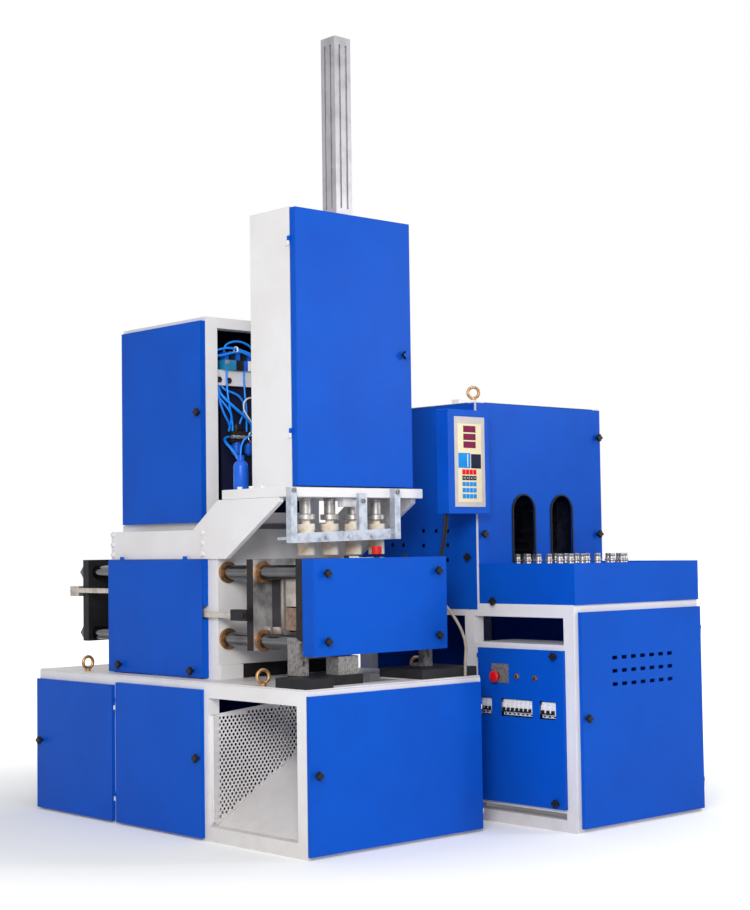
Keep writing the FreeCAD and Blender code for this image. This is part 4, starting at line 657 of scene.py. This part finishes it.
def knobPart(x, y, z, axis):  # a turned cap, swollen into lobes and dished on top
    outline = [(knobs["radius"] * share, height) for share, height in knobs["rings"]]
    part = turnedPart(outline, knobs["lobes"] * knobs["stepsPerLobe"], (0, 0, 0))
    for vert in part.verts:
        turn = math.atan2(vert.co.y, vert.co.x)
        swell = 1 + knobs["lobe"] / knobs["radius"] * math.cos(turn * knobs["lobes"])
        vert.co = (vert.co.x * swell, vert.co.y * swell, vert.co.z)
    ends = bmesh.ops.holes_fill(part, edges=part.edges[:])["faces"]
    bmesh.ops.recalc_face_normals(part, faces=part.faces[:])
    top = max(ends, key=lambda face: face.calc_center_median().z)
    bmesh.ops.inset_region(part, faces=[top], thickness=knobs["dish"], depth=-knobs["dish"])
    bmesh.ops.transform(part, matrix=Matrix.Translation((x, y, z)) @ towards[axis], verts=part.verts[:])
    return part


for body, spots in knobs["spots"].items():
    caps = [(knobPart(*spot), 0) for spot in spots]
    newPiece("knobs_" + body, caps, ["blackPlastic"], "black_plastic", body)
print("knobs made")

# ---- perforated screen behind the bottle chute ----
screen = {"left": -360, "right": 20, "top": 404, "topSlope": 0.085, "back": -269, "thick": 2, "hole": 5.2,
          "pitch": 16, "row": 11.3, "rows": 38, "columns": range(-1, 26), "margin": 14, "lip": 12,
          "lipWide": 4, "lipFoot": 60, "lipEdge": 0.8,
          "foot": {"x": -350, "z": 38, "slope": 0.603}}


def screenTop(x):
    return screen["top"] + screen["topSlope"] * (x - screen["left"])


def screenFoot(x):
    return screen["foot"]["z"] + screen["foot"]["slope"] * max(0, x - screen["foot"]["x"])


def sheetCell(holed):  # one cell of the sheet: an oblong, or the eight faces around a hole
    part = bmesh.new()
    half = Matrix.Diagonal((screen["pitch"] / 2, screen["row"] / 2, 1, 1))
    if holed:
        start = Matrix.Rotation(-math.pi / 2, 4, "Z")  # both rings begin at +X
        for vert in bmesh.ops.create_circle(part, segments=8, radius=1, matrix=start)["verts"]:
            vert.co = half @ Vector((round(vert.co.x), round(vert.co.y), 0))
        bmesh.ops.create_circle(part, segments=8, radius=screen["hole"], matrix=start)
        bmesh.ops.bridge_loops(part, edges=part.edges[:])
    else:
        bmesh.ops.create_grid(part, x_segments=1, y_segments=1, size=1, matrix=half)
    for vert in part.verts:
        vert.co = (vert.co.x, 0, vert.co.y)
    part.normal_update()
    bmesh.ops.reverse_faces(part, faces=[face for face in part.faces if face.normal.y > 0])
    cell = bpy.data.meshes.new("cell")
    part.to_mesh(cell)
    part.free()
    return cell


def screenPart():
    part = bmesh.new()
    cells = {holed: sheetCell(holed) for holed in (True, False)}
    count = 0
    for row in range(screen["rows"]):
        for column in screen["columns"]:
            x = screen["left"] + (column + (row % 2) / 2) * screen["pitch"]
            z = screenTop(screen["right"]) - row * screen["row"]
            room = min(screenTop(x) - z, z - screenFoot(x), x - screen["left"], screen["right"] - x)
            if room > -screen["pitch"]:
                holed = room > screen["margin"]
                before = len(part.verts)
                part.from_mesh(cells[holed])
                for vert in part.verts[before:]:
                    vert.co = (x + vert.co.x, 0, z + vert.co.z)
                count += holed
    for cell in cells.values():
        bpy.data.meshes.remove(cell)
    print("screen holes", count)
    cuts = [((screen["left"], 0, 0), (1, 0, 0)), ((screen["right"], 0, 0), (-1, 0, 0)),
            ((screen["left"], 0, screen["top"]), (screen["topSlope"], 0, -1)),
            ((0, 0, screen["foot"]["z"]), (0, 0, 1)),
            ((screen["foot"]["x"], 0, screen["foot"]["z"]), (-screen["foot"]["slope"], 0, 1))]
    for point, inward in cuts:
        bmesh.ops.bisect_plane(part, geom=part.verts[:] + part.edges[:] + part.faces[:], plane_co=point,
                               plane_no=-Vector(inward), clear_outer=True)
    bmesh.ops.remove_doubles(part, verts=part.verts[:], dist=0.01)
    bmesh.ops.solidify(part, geom=part.faces[:], thickness=screen["thick"])
    depth = min(vert.co.y for vert in part.verts)
    bmesh.ops.translate(part, vec=(0, screen["back"] - screen["thick"] - depth, 0), verts=part.verts[:])
    return part


def chuteScreen():
    wide = screen["lipWide"]
    low = (screen["left"] - wide, screen["back"] - screen["lip"], screen["lipFoot"])
    lip = blockPart(low, (screen["left"], screen["back"], screen["top"] - wide), screen["lipEdge"])
    parts = [(screenPart(), 0), (lip, 0)]
    newPiece("chute_screen_sheet", parts, ["whitePaint"], "white_paint", "machine", "chute_screen")


chuteScreen()
print("screen made")

# ---- nozzle heads ----
heads = {
    "x": (-153, -51, 51, 153), "y": -507, "plateLow": 1101,
    "body": [(14.2, -71), (29.5, -71), (31, -69.5), (31, -54.5), (29.5, -53), (19.5, -53), (18.5, -51.8),
             (18.5, -10), (20.5, -8), (20.5, -2), (19.5, 0), (14.2, 0), (14.2, -71)],
    "spacer": ((-36, -560, 1072), (30, -530, 1101), 1.2),
    "screw": [(0, 0), (7.5, 0), (7.5, 5), (6.5, 6), (3.4, 6), (3.4, 3), (0, 3)],
    "screwSpots": [(-286, -610, 1121), (157.5, -610, 1120), (15, -599, 1090)],
}


def nozzleHeads():
    bodies = [(turnedPart(heads["body"], 40, (x, heads["y"], heads["plateLow"])), 0) for x in heads["x"]]
    newPiece("nozzle_bodies", bodies, ["turnedSteel"], "steel", "machine", "blow_nozzles")
    screws = [(turnedPart(heads["screw"], 24, spot, "-Y"), 0) for spot in heads["screwSpots"]]
    newPiece("hanger_screws", screws, ["mottledPlate"], "steel", "machine")
    newPiece("hanger_spacer", [(blockPart(*heads["spacer"]), 0)], ["whitePaint"], "white_paint", "machine")


nozzleHeads()
print("nozzle heads made")

# ---- clamp: tool lugs, plates on the mould's edge and the skirt under the supports ----
clamp = {
    "upperLug": ((-240, -615, 753), (-214.5, -506, 837), 1.5),
    "lowerLug": ((-240, -615, 677), (-214.5, -506, 749), 1.5),
    "strip": ((-212.5, -461, 650), (-210, -447, 880), 0.5),
    "stopBlock": ((-214, -446, 650), (-210, -405, 685), 0.8),
    "skirt": ((-195.5, -209, 510.3), (195.5, -205, 556.8), 0.6),
}


def clampPieces():
    lugs = [(blockPart(*clamp["upperLug"]), 0), (blockPart(*clamp["lowerLug"]), 1)]
    newPiece("mould_lugs", lugs, ["wornSteel", "rustySteel"], "steel", "clamp_frame")
    strips = [(blockPart(*clamp["strip"]), 0), (blockPart(*clamp["stopBlock"]), 0)]
    newPiece("mould_edge_strips", strips, ["wornSteel"], "steel", "moving_platen")
    newPiece("support_skirt", [(blockPart(*clamp["skirt"]), 0)], ["blackPaint"], "black_steel", "machine")


clampPieces()
print("clamp pieces made")

# ---- preform chucks on their chain ----
chucks = {
    "centre": 865.5, "front": -855, "back": -155, "radius": 100.5, "straight": 14, "ends": 6,
    "endStarts": (195, 15), "endStep": 30, "bandSteps": 32, "bandReach": 110,
    "outline": [(0, 907), (9.3, 907), (10.8, 905.5), (10.8, 898), (10.4, 897.4), (10.4, 896.6), (10.8, 896),
                (10.8, 889), (13.6, 886.5), (14, 884), (13.6, 881.5), (10.8, 880.5), (10.8, 874),
                (11.5, 873), (11.5, 872), (0, 872)],
    "band": [(91.5, 861), (109.5, 861), (109.5, 873), (91.5, 873), (91.5, 861)],
}


def chuckSpots():
    length = chucks["back"] - chucks["front"]
    spots = [(chucks["centre"] + side * chucks["radius"],
              chucks["front"] + (step + 0.5) * length / chucks["straight"])
             for step in range(chucks["straight"]) for side in (-1, 1)]
    for middle, start in zip((chucks["front"], chucks["back"]), chucks["endStarts"]):
        for step in range(chucks["ends"]):
            turn = math.radians(start + chucks["endStep"] * step)
            spots.append((chucks["centre"] + chucks["radius"] * math.cos(turn),
                          middle + chucks["radius"] * math.sin(turn)))
    return spots


def bandPart():  # two half turns of the section, their open ends drawn out to meet
    part = bmesh.new()
    for middle, start in ((chucks["back"], 0), (chucks["front"], math.pi)):
        ring = [part.verts.new((radius * math.cos(start), radius * math.sin(start), z))
                for radius, z in chucks["band"][:-1]]
        sides = [part.edges.new((ring[step - 1], ring[step])) for step in range(4)]
        turned = bmesh.ops.spin(part, geom=ring + sides, cent=(0, 0, 0), axis=(0, 0, 1), angle=math.pi,
                                steps=chucks["bandSteps"])
        last = [item for item in turned["geom_last"] if isinstance(item, bmesh.types.BMEdge)]
        bmesh.ops.translate(part, vec=(chucks["centre"], middle, 0),
                            verts=[vert for vert in part.verts if abs(vert.co.x) < chucks["bandReach"]])
        drawn = bmesh.ops.extrude_edge_only(part, edges=last)
        bmesh.ops.translate(part, vec=(0, chucks["front"] + chucks["back"] - 2 * middle, 0),
                            verts=[item for item in drawn["geom"] if isinstance(item, bmesh.types.BMVert)])
    bmesh.ops.remove_doubles(part, verts=part.verts[:], dist=0.01)
    bmesh.ops.recalc_face_normals(part, faces=part.faces[:])
    return part


def preformChucks():
    parts = [(turnedPart(chucks["outline"], 16, (x, y, 0)), 0) for x, y in chuckSpots()] + [(bandPart(), 1)]
    newPiece("chain_chucks", parts, ["turnedSteel", "darkSteel"], "steel", "machine", "preform_chucks")


preformChucks()
print("chucks made")

# ---- valve gear in the open cabinet ----
valves = {
    "slices": [(-160, -109, 0), (-109, -76, 1), (-76, -58, 2), (-58, -33, 3)],
    "sliceSide": ((-90, 1555), (-45, 1590)), "sliceEdge": 1.2, "coilSide": ((-86, 1590), (-50, 1617)),
    "coilHalf": 8, "coilEdge": 2, "nutSink": 1, "coils": (-146, -121, -96, -71, -46),
    "coilNut": [(0, 0), (5.5, 0), (5.5, 5), (4, 6), (0, 6)],
    "inlet": [(0, 0), (9, 0), (9, 3), (6.5, 3.5), (6.5, 7), (0, 7)],
    "regulator": ((-129, -88, 1305), (-18, -54, 1345), 3),
    "turned": [("inlet", 24, (-150, -90, 1580), "-Y", 4), ("pipe", 24, (-134, -93, 1324), "X", 4),
               ("knob", 28, (-100, -74, 1345), "Z", 1), ("bowl", 28, (-100, -74, 1258), "Z", 2),
               ("filter", 28, (-48, -74, 1262), "Z", 2), ("ring", 36, (-48, -86, 1325), "-Y", 5),
               ("dial", 36, (-48, -86, 1325), "-Y", 1), ("canister", 36, (-250, -292, 1133), "Z", 2)],
    "knob": [(0, 0), (14, 0), (14, 3), (16.5, 4), (17, 6), (17, 22), (15.5, 25), (12, 26), (0, 26)],
    "bowl": [(0, 0), (6, 0), (7, 3), (15, 6), (18, 12), (19, 20), (19, 40), (16, 42), (16, 48), (0, 48)],
    "filter": [(0, 0), (5, 0), (6, 2), (12, 5), (15, 10), (15, 38), (13, 40), (13, 44), (0, 44)],
    "ring": [(17, 0), (20, 0), (20, 12), (18.5, 14), (17, 14), (17, 0)],
    "dial": [(0, 0), (17, 0), (17, 11.5), (0, 11.5)],
    "needle": ((-50, -98.4, 1314), (-48.4, -97.6, 1334), 0.2),
    "pipe": [(0, 0), (7, 0), (7, 10), (5, 11), (5, 20), (7, 21), (7, 34), (5, 35), (5, 44), (7, 45), (7, 55),
             (0, 55)],
    "canister": [(0, 0), (24, 0), (25, 1.5), (25, 78), (22, 88), (14, 95), (12, 96), (12, 114), (0, 114)],
    "bolt": [(0, 0), (11, 0), (11, 6), (9.5, 7), (0, 7)],
    "boltSpots": [(-174, -74, 1521), (-132, -74, 1519)],
}


def valveGear():
    finishes = ["tealPaint", "blackPlastic", "blueCap", "whitePlastic", "wornSteel", "chrome", "darkSteel"]
    (y0, z0), (y1, z1) = valves["sliceSide"]
    parts = [(blockPart((left, y0, z0), (right, y1, z1), valves["sliceEdge"]), index)
             for left, right, index in valves["slices"]]
    (y0, z0), (y1, z1) = valves["coilSide"]
    for count, x in enumerate(valves["coils"]):
        left, right = x - valves["coilHalf"], x + valves["coilHalf"]
        coil = blockPart((left, y0, z0), (right, y1, z1), valves["coilEdge"])
        parts.append((coil, 2 - count % 2))
        parts.append((turnedPart(valves["coilNut"], 6, (x, (y0 + y1) / 2, z1 - valves["nutSink"])), 4))
    parts.append((blockPart(*valves["regulator"]), 6))
    parts.append((blockPart(*valves["needle"]), 3))
    parts += [(turnedPart(valves[name], steps, spot, axis), index)
              for name, steps, spot, axis, index in valves["turned"]]
    newPiece("valve_manifold", parts, finishes, "black_plastic", "machine", "valve_gear")
    bolts = [(turnedPart(valves["bolt"], 6, spot, "-Y"), 0) for spot in valves["boltSpots"]]
    newPiece("rail_bolts", bolts, ["darkSteel"], "black_steel", "machine")


valveGear()
print("valve gear made")

# ---- operator console fascia: three readings, two indicator blocks and rows of keys, all blank ----
# Blocks are given by low corner, high corner and edge radius; layers by back, front and edge radius.
console = {
    "frame": ((369, -670, 1071), (514, -667, 1378), 0.8), "field": (384, 1087, 497, 1354),
    "layers": {"field": (-669.5, -670.4, 0.25), "rim": (-670, -670.9, 0.25),
               "reading": (-670.5, -671.3, 0.25), "block": (-670, -671, 0.25), "bar": (-670.9, -671.3, 0.1),
               "key": (-670, -671.1, 0.4), "mark": (-671, -671.35, 0.1)},
    "readings": [(413, 1327, 467, 1345), (413, 1300.5, 467, 1318), (413, 1273.5, 467, 1291.5)],
    "rim": (2.5, 2),
    "blocks": [("block", (385, 1203, 442, 1254), 6), ("block", (446, 1202, 494, 1251), 5),
               ("bar", (428, 1207, 431, 1250), 7)],
    "keyStart": 402.8, "keyPitch": 17.45, "keyWide": 15.5, "columns": 4,
    "keyRows": [(1180.8, 1198, 4), (1161.5, 1176.8, 5), (1141, 1155.6, 6), (1120, 1135, 6),
                (1099.5, 1114.6, 6)],
    "marked": 5, "mark": (5.5, 10, 1.5),
}


def flatForm(layer, left, low, right, high):
    back, front, radius = console["layers"][layer]
    return blockPart((left, front, low), (right, back, high), radius)


def consoleFascia():
    finishes = ["frameSilver", "fascia", "blackPlastic", "displayRed", "keyRed", "keyNavy", "keyBlue",
                "whitePlastic"]
    parts = [(blockPart(*console["frame"]), 0), (flatForm("field", *console["field"]), 1)]
    rimX, rimZ = console["rim"]
    for left, low, right, high in console["readings"]:
        parts.append((flatForm("rim", left - rimX, low - rimZ, right + rimX, high + rimZ), 2))
        parts.append((flatForm("reading", left, low, right, high), 3))
    parts += [(flatForm(layer, *spot), index) for layer, spot, index in console["blocks"]]
    markLeft, markRight, markHalf = console["mark"]
    for low, high, index in console["keyRows"]:
        for column in range(console["columns"]):
            x = console["keyStart"] + column * console["keyPitch"]
            parts.append((flatForm("key", x, low, x + console["keyWide"], high), index))
            if index == console["marked"]:
                middle = (low + high) / 2
                mark = flatForm("mark", x + markLeft, middle - markHalf, x + markRight, middle + markHalf)
                parts.append((mark, 7))
    newPiece("console_fascia", parts, finishes, "fascia_film", "machine", "control_panel")


consoleFascia()
print("console made")

# ---- breakers, stop button and toggles of the electrics bay ----
breakers = {
    "rows": [(-964, 3, 22.7), (-859, 7, 19.8), (-673, 3, 18)],
    "outline": [(560, 366), (533, 366), (533, 377), (527, 379), (527, 407), (531, 409), (531, 419),
                (560, 419)],
    "lever": (518.5, 380, 528.5, 392), "tieBar": (518.2, 379.4, 522, 383.2),
    "slot": (532.4, 368.5, 533.6, 373.5), "leverShare": (0.3, 0.7), "gap": 0.6, "caseEdge": 0.6, "edge": 0.5,
}


def breakerRows():
    parts = []
    outline = [(x, -z) for x, z in breakers["outline"]]
    near, far = breakers["leverShare"]
    gap, edge = breakers["gap"], breakers["edge"]
    for start, poles, pitch in breakers["rows"]:
        for pole in range(poles):
            y = start + pole * pitch
            parts.append((prismPart(outline, pitch - gap, (0, y + gap / 2, 0), "Y", breakers["caseEdge"]),
                          0))
            for (x0, z0, x1, z1), index in ((breakers["lever"], 1), (breakers["slot"], 2)):
                parts.append((blockPart((x0, y + near * pitch, z0), (x1, y + far * pitch, z1), edge), index))
        x0, z0, x1, z1 = breakers["tieBar"]
        low, high = (x0, start + near * pitch, z0), (x1, start + (poles - near) * pitch, z1)
        parts.append((blockPart(low, high, edge), 1))
    finishes = ["whitePlastic", "blackPlastic", "darkSteel"]
    newPiece("breaker_rows", parts, finishes, "grey_plastic", "machine", "breakers")


switches = {
    "stopSpot": (522, -703, 495),
    "stop": [(0, 24), (8, 23.8), (14, 23), (18, 21.3), (19.7, 19), (20, 17), (19.6, 15), (18, 14), (8, 13.5),
             (8, -11), (0, -11)],
    "collar": [(8.6, 3.2), (14.5, 3.2), (14.5, 6.8), (13.5, 7.8), (8.6, 7.8), (8.6, 3.2)],
    "toggleSpots": [(522, -796, 499), (522, -878, 496)],
    "nut": [(5.6, 4.1), (9.6, 4.1), (9.6, 7), (8.6, 8), (5.6, 8), (5.6, 4.1)],
}


def switchPieces():
    newPiece("stop_head", [(turnedPart(switches["stop"], 48, switches["stopSpot"], "-X"), 0)],
             ["redPlastic"], "red_plastic", "estop_button", "estop_button")
    newPiece("stop_collar", [(turnedPart(switches["collar"], 36, switches["stopSpot"], "-X"), 0)],
             ["blackPlastic"], "black_plastic", "electrics_door")
    nuts = [(turnedPart(switches["nut"], 6, spot, "-X"), 0) for spot in switches["toggleSpots"]]
    newPiece("toggle_nuts", nuts, ["bronze"], "bronze", "electrics_door")


breakerRows()
switchPieces()
print("switches made")

# ---- cables and hoses ----
# What a cord is made of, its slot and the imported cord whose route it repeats.
cordKinds = {
    "console": ("blackRubber", "rubber", "control_cable"),
    "sensor": ("tanBraid", "grey_plastic", "control_cable"),
    "air": ("blueTube", "hose_blue", "air_hoses"),
    "valve": ("blueTube", "hose_blue", None),
    "pale": ("whiteTube", "grey_plastic", None),
}
# Each cord: its kind, radius in mm, length in m and route.
cords = {
    "console_cable_left": ("console", 4, 0.553, [
        (346, -640, 1048), (343, -640, 988), (330, -632, 900), (322, -612, 805), (330, -585, 712),
        (334, -556, 625), (330, -535, 563), (330, -535, 510)]),
    "console_cable_right": ("console", 4, 0.5567, [
        (360, -640, 1048), (354, -640, 992), (341, -628, 905), (333, -602, 812), (341, -572, 725),
        (347, -543, 640), (343, -520, 570), (343, -520, 510)]),
    "sensor_cable": ("sensor", 5, 0.2651, [
        (287.5, -691, 747), (330, -701, 702), (340, -740, 620), (312, -759, 556), (312, -759, 510)]),
    "air_hose_left": ("air", 3.5, 0.2128, [
        (-146, -82, 1555), (-146, -82, 1495), (-138, -88, 1420), (-122, -82, 1384), (-122, -82, 1345)]),
    "air_hose_right": ("air", 3.5, 0.2109, [
        (-71, -82, 1555), (-71, -82, 1492), (-65, -88, 1424), (-60, -80, 1384), (-60, -80, 1345)]),
    "air_hose_low": ("air", 3, 0.1109, [
        (-250, -292, 1247), (-250, -292, 1286), (-232, -314, 1314), (-232, -353, 1314)]),
    "valve_hose_arch": ("valve", 4, 0.2293, [
        (-146, -68, 1622), (-146, -70, 1638), (-128, -76, 1652), (-92, -78, 1659), (-52, -76, 1652),
        (-20, -72, 1632), (-8, -66, 1598), (-8, -64, 1555)]),
    "valve_hose_upper": ("valve", 4, 0.2484, [
        (-198, -84, 1618), (-178, -88, 1624), (-147, -93, 1631), (-103, -94, 1628), (-68, -93, 1620),
        (-35, -90, 1612), (-5, -78, 1596), (8, -68, 1575), (8, -64, 1555)]),
    "valve_hose_lower": ("valve", 4, 0.2597, [
        (-198, -80, 1600), (-176, -90, 1602), (-140, -94, 1611), (-100, -95, 1622), (-64, -95, 1612),
        (-36, -93, 1600), (4, -84, 1594), (22, -70, 1578), (24, -64, 1555)]),
    "valve_hose_left": ("valve", 4, 0.1815, [
        (-176, -66, 1502), (-176, -74, 1470), (-170, -80, 1430), (-156, -84, 1396), (-136, -80, 1372),
        (-112, -62, 1345)]),
    "valve_hose_across": ("valve", 5, 0.2267, [
        (-168, -64, 1502), (-168, -68, 1478), (-156, -84, 1455), (-125, -94, 1427), (-80, -95, 1397),
        (-50, -90, 1376), (-36, -80, 1362), (-34, -72, 1345)]),
    "valve_hose_bow": ("valve", 4, 0.2097, [
        (-156, -64, 1502), (-150, -72, 1486), (-118, -80, 1478), (-90, -82, 1466), (-70, -82, 1440),
        (-70, -76, 1405), (-84, -70, 1372), (-84, -66, 1345)]),
    "valve_hose_short": ("valve", 4, 0.182, [
        (-186, -64, 1502), (-186, -70, 1472), (-165, -84, 1443), (-146, -90, 1420), (-130, -90, 1396),
        (-127, -76, 1370), (-127, -66, 1345)]),
    "valve_hose_pale": ("pale", 3, 0.2326, [
        (-12, -64, 1502), (-14, -72, 1476), (-36, -90, 1462), (-64, -96, 1462), (-86, -97, 1444),
        (-84, -97, 1414), (-58, -95, 1388), (-32, -86, 1364), (-24, -78, 1345)]),
    "valve_hose_feed": ("valve", 5, 0.3275, [
        (-129, -70, 1325), (-150, -74, 1322), (-178, -110, 1305), (-200, -180, 1275), (-218, -238, 1238),
        (-221, -264, 1195), (-221, -266, 1133)]),
}


def makeCord(name):
    kind, radius, length, route = cords[name]
    finish, slot, packed = cordKinds[kind]
    line = bpy.data.curves.new(name, "CURVE")
    line.dimensions = "3D"
    line.bevel_depth = radius * mm
    line.bevel_resolution = 3
    line.resolution_u = 12
    line.use_fill_caps = True
    spline = line.splines.new("NURBS")
    spline.points.add(len(route) - 1)
    for point, spot in zip(spline.points, route):
        point.co = (*(Vector(spot) * mm), 1)
    spline.order_u = 3
    spline.use_endpoint_u = True
    line.materials.append(materials[finish])
    cord = bpy.data.objects.new(name, line)
    bpy.context.scene.collection.objects.link(cord)
    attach(cord, "machine")
    if packed:
        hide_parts(packed)


for name in cords:
    makeCord(name)

hoseTie = {"outline": [(9.5, 0), (12, 0), (12, 5), (9.5, 5), (9.5, 0)], "spot": (-114, -90, 1626)}
newPiece("hose_tie", [(turnedPart(hoseTie["outline"], 24, hoseTie["spot"], "X"), 0)], ["whitePlastic"],
         "grey_plastic", "machine")
print("cables and hoses made", len(cords))
